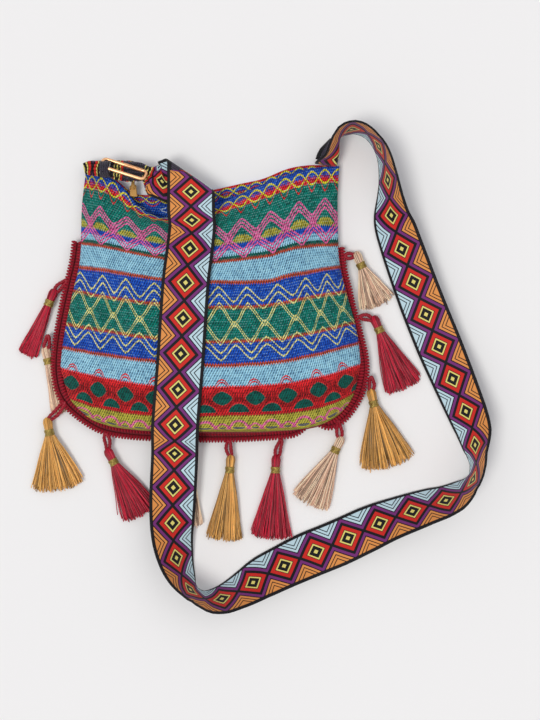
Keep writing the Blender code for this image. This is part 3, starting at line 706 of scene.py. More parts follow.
def ribs_tree():
    """A small rounded rib at even steps along each curve, lying across it."""
    tree, ins, outs = tree_with(
        "Ribs Along Path",
        [
            ("Pitch", "NodeSocketFloat", 0.002),
            ("Size", "NodeSocketVector", (0.002, 0.009, 0.003)),
            ("Slant", "NodeSocketFloat", 0.0),
            ("Jitter", "NodeSocketFloat", 0.1),
            ("Seed", "NodeSocketInt", 3),
            ("Material", "NodeSocketMaterial", None),
        ],
    )
    given = ins.outputs
    inputs = {"Curve": given["Geometry"], "Length": given["Pitch"]}
    spaced = add_node(tree, "GeometryNodeResampleCurve", inputs, mode="LENGTH")
    rib = add_node(tree, "GeometryNodeMeshUVSphere", {"Segments": 8, "Rings": 6, "Radius": 0.5})
    shaped = add_node(tree, "GeometryNodeTransform", {"Geometry": rib.outputs[0], "Scale": given["Size"]})
    tangent = add_node(tree, "GeometryNodeInputTangent")
    inputs = {"Vector": tangent.outputs[0]}
    align = add_node(tree, "FunctionNodeAlignRotationToVector", inputs, axis="X", pivot_axis="Z")
    inputs = {0: given["Slant"], 1: given["Jitter"]}
    less, more = (add_node(tree, "ShaderNodeMath", inputs, operation=kind) for kind in ("SUBTRACT", "ADD"))
    inputs = {2: less.outputs[0], 3: more.outputs[0], "Seed": given["Seed"]}
    turn = add_node(tree, "FunctionNodeRandomValue", inputs, data_type="FLOAT")
    angles = add_node(tree, "ShaderNodeCombineXYZ", {2: turn.outputs[1]})
    euler = add_node(tree, "FunctionNodeEulerToRotation", {0: angles.outputs[0]})
    inputs = {0: align.outputs[0], 1: euler.outputs[0]}
    spin = add_node(tree, "FunctionNodeRotateRotation", inputs, rotation_space="LOCAL")
    inputs = {"Points": spaced.outputs[0], "Instance": shaped.outputs[0], "Rotation": spin.outputs[0]}
    finish_tree(tree, ins, outs, add_node(tree, "GeometryNodeInstanceOnPoints", inputs).outputs[0])
    return tree


TREES = {}


def tree(name):
    if name not in TREES:
        TREES[name] = {"swept": swept_tree, "ribs": ribs_tree}[name]()
    return TREES[name]


def swept(name, lines, radius, material, sides=5, cyclic=False):
    values = {"Radius": radius, "Sides": sides, "Material": material}
    return from_nodes(name, curve_lines(name, lines, cyclic), tree("swept"), values)


def joined_mesh(name, meshes):
    bm = bmesh.new()
    materials = []
    for mesh in meshes:
        start = len(bm.faces)
        bm.from_mesh(mesh)
        bm.faces.ensure_lookup_table()
        for m in mesh.materials:
            if m not in materials:
                materials.append(m)
        for face in bm.faces[start:]:
            face.material_index = materials.index(mesh.materials[face.material_index])
    made = bpy.data.meshes.new(name)
    bm.to_mesh(made)
    bm.free()
    for m in materials:
        made.materials.append(m)
    for mesh in meshes:
        bpy.data.meshes.remove(mesh)
    return made


def drawn(px, py, z):
    """The place at height z which the picture shows at a pixel."""
    scale = PX * (1 - z / CAMERA_AT.z)
    middle_x, middle_y = PICTURE_MIDDLE
    return (px - middle_x) * scale + CAMERA_AT.x, (middle_y - py) * scale + CAMERA_AT.y


# The shape of the laid bag. Rows of its cloth as the picture shows them: distance from the mouth in mm,
# left and right end, and places between, in pixels.

FRONT_ROWS = [
    (0, (86, 172), (339, 166), [
        (90, 172.5), (102, 175), (112, 178), (120, 183), (126, 190), (132, 200), (140, 208), (150, 214),
        (165, 218), (190, 216), (213, 207), (229, 199), (256, 187), (280, 177), (296, 172), (307, 169),
        (320, 167),
    ]),
    (27, (82, 204), (337, 199), [
        (99, 207), (129, 218), (155, 224), (185, 226), (215, 224), (242, 219), (271, 212), (299, 202),
        (320, 199),
    ]),
    (61.5, (81, 243), (338, 246), [
        (100, 246), (139, 254), (165, 259), (190, 263), (215, 263), (245, 259), (271, 256), (285, 250),
        (305, 247), (325, 245),
    ]),
    (82, (79, 267), (340, 266), [
        (107, 270), (135, 275), (163, 279), (190, 281), (215, 281), (245, 282), (261, 282), (275, 280),
        (291, 275), (313, 271),
    ]),
    (101, (73, 290), (346, 291), [
        (107, 297), (135, 301), (163, 304), (190, 306), (215, 307), (261, 306), (285, 302), (301, 298),
        (325, 294),
    ]),
    (131, (66, 323), (355, 322), [
        (105, 330), (135, 335), (159, 338), (190, 341), (215, 341), (255, 340), (285, 337), (317, 331),
    ]),
    (150, (62, 347), (359, 342), [
        (95, 353), (125, 357), (157, 361), (190, 364), (215, 365), (255, 364), (289, 360), (325, 352),
    ]),
    (169, (60, 368), (361, 364), [
        (95, 376), (125, 382), (155, 386), (190, 387), (215, 387), (255, 386), (289, 383), (329, 375),
    ]),
    (194.5, (69, 399), (355, 393), [
        (95, 408), (125, 413), (155, 416), (190, 417), (215, 416), (265, 415), (295, 413), (325, 407),
        (345, 399),
    ]),
    (205, (78, 409), (349, 404), [
        (95, 418), (121, 426), (154, 429), (190, 429), (215, 428), (250, 427), (285, 426), (317, 422),
        (335, 413),
    ]),
    (215, (91, 420), (338, 416), [
        (107, 426), (130, 429), (160, 430.5), (210, 431), (260, 431), (300, 429), (325, 424),
    ]),
    (224, (112, 427.5), (318, 427), [
        (135, 430.5), (160, 432), (210, 432.5), (260, 432.5), (297, 430.5),
    ]),
    (232, (150, 432), (270, 432.5), [
        (180, 433), (210, 433.5), (240, 433.5),
    ]),
]
BACK_EDGE = [
    (86, 172), (100, 173), (115, 177), (124, 187), (134, 195.5), (157, 195), (190, 193), (214, 190),
    (240, 184), (263, 179.5), (277, 173), (289, 168), (309, 165), (339, 166),
]
# Folds of the cloth: a line in pixels, the height in mm, below 0 for a hollow, and the width in pixels
FOLDS = [
    ([(88, 174), (105, 188), (125, 202), (165, 220)], -3.2, 7),
    ([(118, 200), (117, 250), (113, 310), (108, 390)], -1.8, 9),
    ([(131, 206), (137, 250), (134, 320), (136, 400)], 1, 8),
    ([(318, 205), (313, 262), (303, 320), (300, 380)], -1.8, 9),
    ([(262, 264), (285, 257), (310, 250), (337, 248)], -2.2, 6),
    ([(255, 248), (285, 240), (312, 234), (337, 229)], 1.4, 8),
    ([(232, 205), (262, 196), (300, 184), (335, 180)], 1.2, 6),
    ([(62, 352), (80, 375), (100, 398)], -1, 7),
    ([(357, 352), (340, 378), (322, 400)], -1, 7),
]
SEAM_Z = 7.0 * MM
SEAM_HALF_GAP = 1.15 * MM  # from the seam's middle to the cloth's outside
BODY_THICK = 29.0 * MM
MOUTH_THICK = 15.0 * MM
BACK_Z = 0.8 * MM  # of the cloth that lies on the floor
FULL_LENGTH = 232.0  # from the mouth to the bottom seam, in mm
HALF_ACROSS = 124 * MM
BACK_TURNS_UP = 20 * MM  # over this much at its edges the back panel rises to the seam


def folds(px, py):
    """How much the folds lift the cloth at a place of the picture, in metres."""
    total = np.zeros_like(px)
    for line, depth, width in FOLDS:
        best = np.full_like(px, 1e9)
        for (ax, ay), (bx, by) in zip(line, line[1:]):
            dx, dy = bx - ax, by - ay
            t = np.clip(((px - ax) * dx + (py - ay) * dy) / (dx * dx + dy * dy), 0, 1)
            best = np.minimum(best, np.hypot(px - ax - t * dx, py - ay - t * dy))
        total += depth * MM * np.exp(-((best / width) ** 2))
    return total * sizes().fold_depth


def smoothed(values, axis, spread):
    reach = int(spread * 3) + 1
    kernel = np.exp(-0.5 * (np.arange(-reach, reach + 1) / spread) ** 2)
    kernel /= kernel.sum()
    margins = [(reach, reach) if i == axis else (0, 0) for i in range(values.ndim)]
    padded = np.pad(values, margins, "reflect", reflect_type="odd")
    return np.apply_along_axis(lambda row: np.convolve(row, kernel, "valid"), axis, padded)


def cloth_rows(rows, across, down):
    """Pixels of a fine grid over the rows, with u from -1 to 1 and the distance d from the mouth."""
    u = np.sin(np.linspace(-0.5, 0.5, across) * math.pi)
    even = np.linspace(-1, 1, 161)
    xs, ys, ds = [], [], []
    for d, left, right, between in rows:
        line = np.array([left, *between, right], float)
        x = left[0] + (right[0] - left[0]) * (even + 1) / 2
        y = smoothed(np.interp(x, line[:, 0], line[:, 1]), 0, 3.5)
        xs.append(np.interp(u, even, x))
        ys.append(np.interp(u, even, y))
        ds.append(d)
    d = np.sort(FULL_LENGTH * np.cos(np.linspace(0, 1, down) * math.pi / 2))
    px, py = (
        smoothed(np.stack([np.interp(d, ds, column) for column in np.array(known).T], -1), 0, 1.6)
        for known in (xs, ys)
    )
    return np.broadcast_to(u, px.shape), np.broadcast_to(d[:, None], px.shape), px, py


def fullness(u, v):
    side = np.sqrt(np.maximum(0.0, 1 - np.abs(u) ** 3.4))
    foot = np.sqrt(np.maximum(0.0, 1 - (1 - np.minimum(1.0, v / 0.30)) ** 2.6))
    return side * foot


# Where the middle of each repeat of the pattern lies, in pixels, at four distances from the mouth in mm

COLUMNS = {
    9: (84, 100, 127, 152, 181, 211, 241, 270, 299, 325),
    35: (82, 98, 128, 155, 184, 213, 241.5, 270, 299, 325),
    92: (80, 103, 125, 154, 186, 219.5, 247, 278, 307, 327),
    180: (71, 98, 125, 154, 188, 222.5, 255.5, 288, 319.5, 346),
}
FIRST_REPEAT = -5


def repeats(px, d):
    """The pattern's repeats counted across the bag."""
    fine = np.arange(20.0, 400.0)
    rows = []
    for at, middles in COLUMNS.items():
        middles = np.array(middles, float)
        steps = np.diff(middles)
        before = middles[0] - steps[0] * np.arange(4, 0, -1)
        ends = np.r_[before, middles, middles[-1] + steps[-1] * np.arange(1, 5)]
        counts = FIRST_REPEAT - 4.0 + np.arange(len(ends))
        rows.append(smoothed(np.interp(fine, ends, counts), 0, 6.0))
    found = np.empty_like(px)
    for i in range(px.shape[0]):
        at = np.array([np.interp(px[i], fine, row) for row in rows])
        found[i] = [np.interp(d[i, 0], list(COLUMNS), at[:, j]) for j in range(px.shape[1])]
    return found


def front_surface(across=150, down=130, drop=0.0):
    u, d, px, py = cloth_rows(FRONT_ROWS, across, down)
    v = 1 - d / FULL_LENGTH
    full = fullness(u, v)
    top = mix(BODY_THICK, MOUTH_THICK, ease((v - 0.55) / 0.45)) - 0.7 * MM - drop
    z = mix(SEAM_Z + SEAM_HALF_GAP, top, full)
    lift = folds(px, py) * np.clip(full * 1.6 - 0.2, 0, 1)
    z = z + lift - 2.2 * MM * np.exp(-d / 7.0) * full
    x, y = drawn(px, py, z)
    return np.stack([x, y, z], -1), np.stack([repeats(px, d), d], -1)


def back_surface(across=120, down=90, lift=0.0):
    rows = [(0, BACK_EDGE[0], BACK_EDGE[-1], BACK_EDGE[1:-1])] + FRONT_ROWS[1:]
    u, d, px, py = cloth_rows(rows, across, down)
    edge = np.minimum((1 - np.abs(u)) * HALF_ACROSS, (FULL_LENGTH - d) * 0.9 * MM)
    turned = np.maximum(0.0, 1 - edge / BACK_TURNS_UP) ** 1.7
    z = mix(BACK_Z + lift, SEAM_Z - SEAM_HALF_GAP, turned)
    x, y = drawn(px, py, z)
    return np.stack([x, y, z], -1), np.stack([repeats(px, d), d], -1)


class BAG_OT_cloth(bpy.types.Operator):
    """Makes the front and back panels and the lining from the cloth's rows"""

    bl_idname = "bag.cloth"
    bl_label = "Bag Cloth"

    def execute(self, context):
        cloth = jacquard("patterned_cloth")
        inside = inner_jacquard("cloth_wrong_side")
        thick = sizes().cloth
        points, uv = front_surface()
        mesh = turned_up(grid_mesh("cloth_front", points, uv))
        obj = new_piece("cloth_front", mesh, cloth, "bag", ["front_panel"])
        thickened(obj, thick, -1.0, inside)
        points, uv = back_surface()
        mesh = turned_up(grid_mesh("cloth_back", points, uv), down=True)
        obj = new_piece("cloth_back", mesh, cloth, "bag", ["back_panel"])
        thickened(obj, thick, 0.0, inside)

        # the lining: both panels again, drawn in and below the mouth
        plain = lining_cloth()
        middle = front_surface(70, 60, 2.2 * MM)[0].mean(axis=(0, 1))
        meshes = []
        for name, (points, uv), starts, narrow, short in (
            ("lining_a", front_surface(70, 60, 2.2 * MM), 14, 0.965, 0.975),
            ("lining_b", back_surface(70, 60, 1.6 * MM), 22, 0.95, 0.965),
        ):
            keep = uv[:, 0, 1] > starts
            points = points[keep].copy()
            points[..., 0] = points[..., 0] * narrow
            points[..., 1] = middle[1] + (points[..., 1] - middle[1]) * short
            mesh = turned_up(grid_mesh(name, points, uv[keep]))
            mesh.materials.append(plain)
            meshes.append(mesh)
        obj = new_piece("bag_lining", joined_mesh("bag_lining", meshes), plain, "bag", ["lining"])
        thickened(obj, 0.6 * MM, 0.0)
        return {"FINISHED"}


# The edge braid's line in pixels, from the left waist round the bottom to the right waist

BRAID_LINE = [
    (82, 243), (79.5, 262), (74, 285), (68.5, 310), (63, 340), (61, 362), (61.5, 376), (65, 391),
    (74, 404), (92, 418), (108, 425.5), (133, 429.5), (160, 431), (195, 432), (230, 432), (262, 431.5),
    (288, 430), (296, 427), (303, 421), (313, 417.5), (322, 419), (330, 421.5), (342, 414), (354, 397),
    (359.5, 380), (360.5, 361), (354.5, 334), (348, 310), (343.5, 290), (338.5, 270), (336, 249),
]


def braid_line():
    """The seam's outside, in metres at the seam's height."""
    return [Vector((*drawn(px, py, SEAM_Z), SEAM_Z)) for px, py in BRAID_LINE]


def between(a, b, c, d, t):
    """The point at t from b to c on the smooth curve through four points."""
    return 0.5 * (2 * b + (c - a) * t + (2 * a - 5 * b + 4 * c - d) * t * t + (3 * b - a - 3 * c + d) * t**3)


def even_line(points, step):
    """A smooth line through the points, cut into equal steps."""
    points = [Vector(p) for p in points]
    padded = [2 * points[0] - points[1], *points, 2 * points[-1] - points[-2]]
    fine = []
    for a, b, c, d in zip(padded, padded[1:], padded[2:], padded[3:]):
        for k in range(12):
            fine.append(between(a, b, c, d, k / 12))
    fine.append(points[-1])
    fine = np.array([tuple(p) for p in fine])
    gone = np.r_[0, np.cumsum(np.linalg.norm(np.diff(fine, axis=0), axis=1))]
    at = np.linspace(0, gone[-1], max(2, round(gone[-1] / step) + 1))
    return np.stack([np.interp(at, gone, fine[:, i]) for i in range(3)], -1)


def sideways(line):
    """The way to the right of a flat line's travel, at each of its points."""
    way = np.gradient(line, axis=0)
    way /= np.linalg.norm(way, axis=1)[:, None]
    return np.stack([way[:, 1], -way[:, 0], 0 * way[:, 0]], -1)


# Each row's place and width as shares of the braid's, its slant, its thickness in mm and its seed
BRAID_ROWS = ((0.06, 0.66, 0.12, 3.4, 3), (0.68, 0.62, -0.10, 3.0, 5))
BRAID_CORES = (0.2, 0.52)
BRAID_TAPE = (-0.30, 0.0, 0.35, 0.75)
BRAID_NARROWS = ((20 * MM, 60 * MM), (1.25, 1.0))  # the braid is wider on the left and below


class BAG_OT_braid(bpy.types.Operator):
    """Makes the edge braid: two rows of corded ribs over a core and a tape darkened as painted shade"""

    bl_idname = "bag.braid"
    bl_label = "Edge Braid"

    def execute(self, context):
        paint = braid_paint()
        seam = even_line(braid_line(), 1.0 * MM)
        out = sideways(seam)
        if out[0, 0] > 0:  # the line starts at the left, where outside is to the left
            out = -out
        width, pitch = sizes().braid_width, sizes().rib_pitch
        parts = []
        grown = np.interp(seam[:, 0], BRAID_NARROWS[0], BRAID_NARROWS[1])[:, None]
        for at, share, slant, thick, seed in BRAID_ROWS:
            line = seam + out * width * at * grown
            line[:, 2] += (0.68 - at) * 2.0 * MM
            values = {
                "Pitch": pitch,
                "Size": (pitch * 1.02, width * share * 1.12, thick * MM),
                "Slant": slant,
                "Jitter": 0.10,
                "Seed": seed,
                "Material": paint,
            }
            parts.append(from_nodes("ribs", curve_lines("ribs", [line]), tree("ribs"), values))
        # painted shade: the core and the tape under the ribs take a darker copy of the braid's colour
        deep = braid_paint("edge_braid_core_shade", 0.55)
        for at in BRAID_CORES:
            core = seam + out * width * at * grown
            parts.append(swept("core", [core[::3]], 1.0 * MM, deep, 6))
        tape = np.stack([seam + out * width * at * grown for at in BRAID_TAPE], 1)
        tape[:, 0, 2] -= 1.2 * MM
        tape[:, 1:, 2] -= 0.5 * MM
        strip = grid_mesh("tape", tape, np.zeros((*tape.shape[:2], 2)))
        strip.materials.append(deep)
        parts.append(strip)
        mesh = joined_mesh("braid_trim", parts)
        new_piece("braid_trim", mesh, paint, "bag", ["edge_braid"])
        return {"FINISHED"}


# Tassels, from the left waist round: thread, fall from head to tip, half width of the fan and flatness

TASSELS = [
    ("crimson", (-22, -51.5), 8.5, 1),
    ("beige", (11.5, -51.5), 6.5, 0.62),
    ("gold", (9.5, -57.5), 25, 1),
    ("crimson", (27.5, -53), 18, 1),
    ("beige", (1, -58), 10.5, 1),
    ("gold", (-5.5, -68), 15.5, 1),
    ("crimson", (-4, -67), 18.5, 1),
    ("beige", (-26, -53.5), 18.5, 1),
    ("gold", (14, -62.5), 26, 1),
    ("crimson", (25, -57.5), 17.5, 1),
    ("beige", (18, -41.5), 17, 1),
]
THREAD_SHADES = (1.0, 1.6, 0.5, 0.25)  # painted light: a bundle's threads are lit and shaded copies of one colour; the last, darkest, is painted shade on its core
THREAD_LOTS = (5, 3, 3)  # how often a thread is of each of the first three shades
HEAD_RADIUS = 3.7 * MM
NECK_RADIUS = 3.0 * MM
NECK_BELOW_HEAD = 2.6 * MM
BAND_HEIGHT = 6.0 * MM
SKIRT_THICK = 2.0 * MM
OFF_FLOOR = 0.3 * MM
STRAY_SHARE = 0.05  # of the threads that stick out
CORD_TWIST = 0.76  # from a strand's middle to the cord's, in mm
CORD_POINTS = 72
CORE_SIDES = 12


class Fall:
    """Where one tassel lies: its head, its way down, its thickness and how far its threads fan out."""

    def __init__(self, body, fall, spread, flat):
        low, high = (Vector(c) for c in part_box(f"{body}_band"))
        neck_at = (low + high) / 2
        self.axis = Vector((*fall, 0)).normalized()
        self.side = Vector((-self.axis.y, self.axis.x, 0))
        self.neck = HEAD_RADIUS + BAND_HEIGHT / 2 + NECK_BELOW_HEAD
        self.head = Vector((neck_at.x, neck_at.y, 0)) - self.axis * self.neck
        self.length = Vector((*fall, 0)).length * MM
        self.spread = spread
        self.flat = flat
        self.thick = HEAD_RADIUS * flat
        self.z_neck = OFF_FLOOR + max(self.thick, NECK_RADIUS * flat + 1.2 * MM)
        self.z_skirt = OFF_FLOOR + 2.4 * MM * min(1.0, flat)
        self.start = self.neck + BAND_HEIGHT / 2

    def place(self, along, across, high, share=0.0):
        """A point of the tassel, share of the way from its neck to its tip."""
        z = mix(self.z_neck, self.z_skirt, float(ease(share * 1.4)))
        return self.head + self.axis * along + self.side * across + Vector((0, 0, z + high))

    def share(self, along):
        return (along - self.start) / (self.length - self.start)

    def bow(self, across):
        """How much nearer the head a thread ends, so far from the middle, than the middle one."""
        return (1 - math.cos(math.asin(min(0.9, abs(across) / self.length)))) * self.length

    def thread(self, rng):
        """The points of one thread, from the head through the band to the fan."""
        flat, spread = self.flat, self.spread
        angle = rng.uniform(0, 2 * math.pi)
        out = math.sqrt(rng.uniform(0.15, 1.0))
        a, h = math.cos(angle) * out, math.sin(angle) * out
        stray = rng.random() < STRAY_SHARE
        fan = a * (1 + (rng.uniform(-0.16, 0.16) if stray else rng.uniform(-0.05, 0.05)))
        cut = self.length - self.bow(fan * spread) + rng.uniform(-3.0, 1.8) * MM
        cut += rng.uniform(-6, 3) * MM if stray else 0
        cut -= (1 - abs(h)) * 1.2 * MM
        wave, phase = rng.uniform(0.2, 0.9) * MM, rng.uniform(0, 6.28)
        line = []
        for along, wide, tall in (
            (-HEAD_RADIUS * 0.95, 0.30, 0.30),
            (-HEAD_RADIUS * 0.55, 0.80, 0.80),
            (HEAD_RADIUS * 0.15, 1.0, 1.0),
            (self.neck - BAND_HEIGHT / 2 - 1.2 * MM, 0.90, 0.90),
            (self.neck, 0.76, 0.76),
        ):
            line.append(self.place(along, a * HEAD_RADIUS * wide, h * self.thick * tall))
        steps = 7
        for n in range(1, steps + 1):
            k = n / steps
            along = mix(self.start, cut, k)
            share = self.share(along)
            wide = mix(NECK_RADIUS, spread, min(1.0, share) ** 0.85)
            tall = mix(NECK_RADIUS * flat, SKIRT_THICK * min(1.0, flat), float(ease(share * 1.6)))
            across = fan * wide + math.sin(phase + k * 5.5) * wave * k
            line.append(self.place(along, across, h * tall, share))
        return line

    def core(self, name):
        """A soft core inside the bundle, so that no light comes through it."""
        least = min(1, self.flat)
        rows = [
            (-HEAD_RADIUS * 0.7, 0.3 * HEAD_RADIUS, 0.3 * self.thick),
            (0.0, 0.85 * HEAD_RADIUS, 0.85 * self.thick),
            (self.neck, 0.7 * NECK_RADIUS, 0.7 * NECK_RADIUS * self.flat),
        ]
        for down, fanned, kept, tall in (
            (0.25, 0.31, 0.8, 1.5),
            (0.6, 0.65, 0.8, 1.0),
            (0.86, 0.88, 0.72, 0.5),
        ):
            wide = mix(NECK_RADIUS, self.spread, fanned) * kept
            rows.append((mix(self.start, self.length, down), wide, tall * MM * least))
        bm = bmesh.new()
        loops = []
        for along, wide, tall in rows:
            share = max(0.0, self.share(along))
            ring = []
            for i in range(CORE_SIDES):
                a = 2 * math.pi * i / CORE_SIDES
                across = math.cos(a) * wide
                spot = self.place(along - self.bow(across) * share, across, math.sin(a) * tall, share)
                ring.append(bm.verts.new(spot))
            loops.append(ring)
        for a, b in zip(loops, loops[1:]):
            for i in range(CORE_SIDES):
                j = (i + 1) % CORE_SIDES
                bm.faces.new((a[i], a[j], b[j], b[i]))
        bm.faces.new(loops[0])
        bm.faces.new(loops[-1])
        bmesh.ops.recalc_face_normals(bm, faces=bm.faces)
        mesh = bpy.data.meshes.new(name)
        bm.to_mesh(mesh)
        bm.free()
        return mesh

    def band(self):
        """The metallic thread's turns round the neck."""
        turns, sides = 8, 20
        wound = []
        for i in range(turns * sides + 1):
            a = 2 * math.pi * i / sides
            along = self.neck + mix(-0.42, 0.42, i / (turns * sides)) * BAND_HEIGHT
            r = NECK_RADIUS + 0.55 * MM + 0.25 * MM * math.sin(i * 0.9)
            high = math.sin(a) * (r - NECK_RADIUS + NECK_RADIUS * self.flat)
            wound.append(self.place(along, math.cos(a) * r, high))
        return wound

    def cord(self, body, number):
        """The cord loop's three twisted strands, from the braid to the head and back."""
        pivot = Vector(next(j for j in frame["joints"] if j["child"] == body)["pos_m"])
        pivot.z = 0.0
        way = (self.head - pivot).normalized()
        across = Vector((-way.y, way.x, 0))
        reach = (self.head - way * (HEAD_RADIUS * 0.2) - pivot).length
        lines = []
        for strand in range(3):
            line = []
            for i in range(CORD_POINTS):
                a = 2 * math.pi * i / CORD_POINTS
                along = 0.5 - 0.5 * math.cos(a)
                bend = 1 + 0.25 * math.sin(3 * a + number)
                base = pivot + way * (mix(-3.6 * MM, reach, along))
                base = base + across * 2.0 * MM * math.sin(a) * bend
                base.z = mix(SEAM_Z, self.z_neck, along)
                out = (across * math.sin(a) - way * math.cos(a)).normalized()
                twist = a * 6 + strand * 2 * math.pi / 3
                around = out * math.cos(twist) + Vector((0, 0, 1)) * math.sin(twist)
                line.append(base + around * CORD_TWIST * MM)
            lines.append(line)
        return lines


class BAG_OT_tassels(bpy.types.Operator):
    """Makes the tassels: cord loop, bundle of threads and the band round its neck"""

    bl_idname = "bag.tassels"
    bl_label = "Tassels"

    def execute(self, context):
        paints = {
            c: [thread_paint(f"{c}_thread_{i}", c, 0.4, 0.4, False, k) for i, k in enumerate(THREAD_SHADES)]
            for c in ("crimson", "beige", "gold")
        }
        cord = thread_paint("cord_thread", "braid", 0.35)
        band = thread_paint("metallic_band", "band", 0.6, 0.35, True)
        for number, (colour, fall, spread, flat) in enumerate(TASSELS, 1):
            body = f"tassel_{number:02d}"
            shape = Fall(body, fall, spread * MM, flat)
            rng = random.Random(40 + number)
            paint = paints[colour]
            # each thread takes one of the lit and shaded copies at random, as painted light
            lots = [[], [], []]
            for line in [shape.thread(rng) for _ in range(sizes().threads)]:
                lots[rng.choices((0, 1, 2), THREAD_LOTS)[0]].append(line)
            parts = [swept(f"{body}_skirt", lot, sizes().thread, one, 4) for lot, one in zip(lots, paint)]
            # the core inside the bundle takes the darkest copy, painted shade
            parts.append(shape.core(f"{body}_core"))
            parts[-1].materials.append(paint[3])
            bundle = joined_mesh(f"{body}_bundle", parts)
            wrap = swept(f"{body}_wrap", [shape.band()], 0.5 * MM, band, 5)
            loop = swept(f"{body}_cord", shape.cord(body, number), sizes().cord, cord, 6, cyclic=True)
            new_piece(f"{body}_bundle", bundle, paint[0], body, [f"{body}_threads"])
            new_piece(f"{body}_wrap", wrap, band, body, [f"{body}_band"])
            new_piece(f"{body}_cord", loop, cord, body, [f"{body}_loop"])
        return {"FINISHED"}


# The strap follows the route of its CAD solid: place in mm, height of its middle line, roll and bend.
# A height of None is where it lies on the cloth.

ROUTE = [
    (105.5, 120.2, 8.8, 90, 172),
    (107.0, 129.0, 15.5, 89, 100),
    (107.5, 140.0, 20.0, 86, 30),
    (115.0, 147.5, 20.2, 85, 8),
    (123.5, 148.0, 20.2, 86, 4),
    (131.0, 144.5, 20.2, 87, 2),
    (137.0, 138.5, 20.2, 86, 0),
    (141.5, 131.5, 20.2, 83, 0),
    (144.5, 123.5, 20.0, 80, 0),
    (146.5, 113.5, 19.8, 76, 0),
    (148.0, 103.5, 19.4, 71, 0),
    (149.0, 93.5, 18.4, 64, 0),
    (150.0, 84.0, 17.0, 55, 0),
    (151.5, 75.0, 15.0, 45, 0),
    (155.0, 64.0, 13.0, 37, 0),
    (164.0, 38.5, 11.4, 31, 0),
    (177.0, 4.0, 9.6, 25, 0),
    (190.5, -29.0, 8.6, 22, 0),
    (202.0, -57.5, 11.6, 32, 0),
    (214.5, -89.0, 14.6, 43, 0),
    (218.8, -103.0, 16.8, 53, 0),
    (220.0, -119.0, 19.8, 74, 0),
    (220.2, -130.0, 20.2, 82, 4),
    (218.5, -138.5, 20.2, 85, 4),
    (215.2, -143.8, 20.2, 82, 0),
    (210.5, -149.0, 19.8, 73, 0),
    (204.0, -154.0, 18.6, 64, 0),
    (193.0, -159.0, 17.4, 57, 0),
    (180.0, -163.0, 16.2, 51, 0),
    (151.0, -173.5, 13.6, 40, 0),
    (131.0, -182.5, 10.4, 28, 0),
    (107.0, -194.0, 8.6, 22, 0),
    (82.5, -204.0, 8.8, 22, 0),
    (62.0, -213.0, 11.4, 32, 0),
    (45.5, -221.0, 12.8, 37, 0),
    (33.5, -228.0, 15.2, 47, 0),
    (22.5, -234.0, 17.0, 56, 0),
    (12.5, -238.5, 18.4, 63, 0),
    (3.0, -240.0, 19.6, 72, 0),
    (-5.0, -238.0, 20.2, 82, 4),
    (-11.0, -234.5, 20.2, 84, 4),
    (-16.5, -230.0, 20.0, 78, 0),
    (-21.0, -223.0, 18.7, 66, 0),
    (-25.0, -213.5, 17.2, 55, 0),
    (-28.0, -201.5, 16.4, 44, 0),
    (-30.0, -187.5, 16.2, 34, 0),
    (-30.3, -171.0, 15.4, 22, 0),
    (-29.8, -150.0, 13.8, 10, 0),
    (-28.5, -121.5, 13.5, 0, 0),
    (-27.2, -102.0, None, 0, 0),
    (-26.0, -84.0, None, 0, 0),
    (-24.2, -63.0, None, 0, 0),
    (-22.5, -42.0, None, 0, 0),
    (-20.0, -3.5, None, 0, 0),
    (-18.0, 24.0, None, 0, 0),
    (-15.5, 46.5, None, 0, 0),
    (-13.5, 69.0, None, 0, 0),
]
FOLD_AT = Vector((-14.0, 103.8, 27.5)) * MM
FOLD_RADIUS = 4.0 * MM
FOLD_SLANT = math.radians(34)
FOLD_START, FOLD_END = -24.0 * MM, 30.0 * MM
# Wrong side of the gathered webbing that laps the buckle's left end: across in x, then (y, z) along it
LAP_ACROSS = (-89.5, -80.0)
LAP = ((121.0, 22.5), (119.5, 27.5), (117.0, 30.8), (114.0, 31.2), (111.0, 28.0), (108.5, 21.0))

# Gathered stretches: place of the middle in mm, and half the width that the pleats leave
TO_BUCKLE = [
    (-41.0, 105.0, 19.4, 17.0),
    (-45.0, 107.6, 19.3, 14.5),
    (-48.5, 109.6, 19.2, 8.5),
    (-51.5, 111.2, 19.0, 6.0),
    (-57.0, 112.6, 18.8, 7.6),
    (-66.0, 113.4, 18.6, 8.6),
    (-76.0, 114.2, 18.2, 8.0),
    (-81.5, 114.6, 16.8, 6.4),
]
TAB = [
    (-103.6, 116.6, 11.0, 4.6),
    (-100.0, 117.2, 11.6, 5.8),
    (-94.0, 116.8, 12.4, 6.2),
    (-88.0, 116.0, 13.4, 6.8),
    (-83.0, 115.2, 15.0, 7.4),
]
PLEATS = 9
PATTERN_HALF = 19.0  # half the width of the strap's pattern, in mm
GATHERED_SHARE = 0.12  # of the pattern's width that shows between the pleats
GATHERED_UNDER = 0.9  # a row that shows less than this of it counts as gathered
GATHERED_RATE = 1.9  # and how much faster the pattern runs along them
FOLDED_SHIFT = 6 * MM  # of the pattern past the fold
DARK = ((-90.0, -77.0), (-69.0, -53.0))  # where the gathered webbing shows its wrong side
DIAMOND_AT = 21.4 * MM  # where the middle of a diamond lies on the strap's run over the bag
SHORTENED_FROM, SHORTENED = 60 * MM, 1.22  # the run rises here, so its diamonds look shorter
STATIONS_ACROSS = np.linspace(-1, 1, 37)


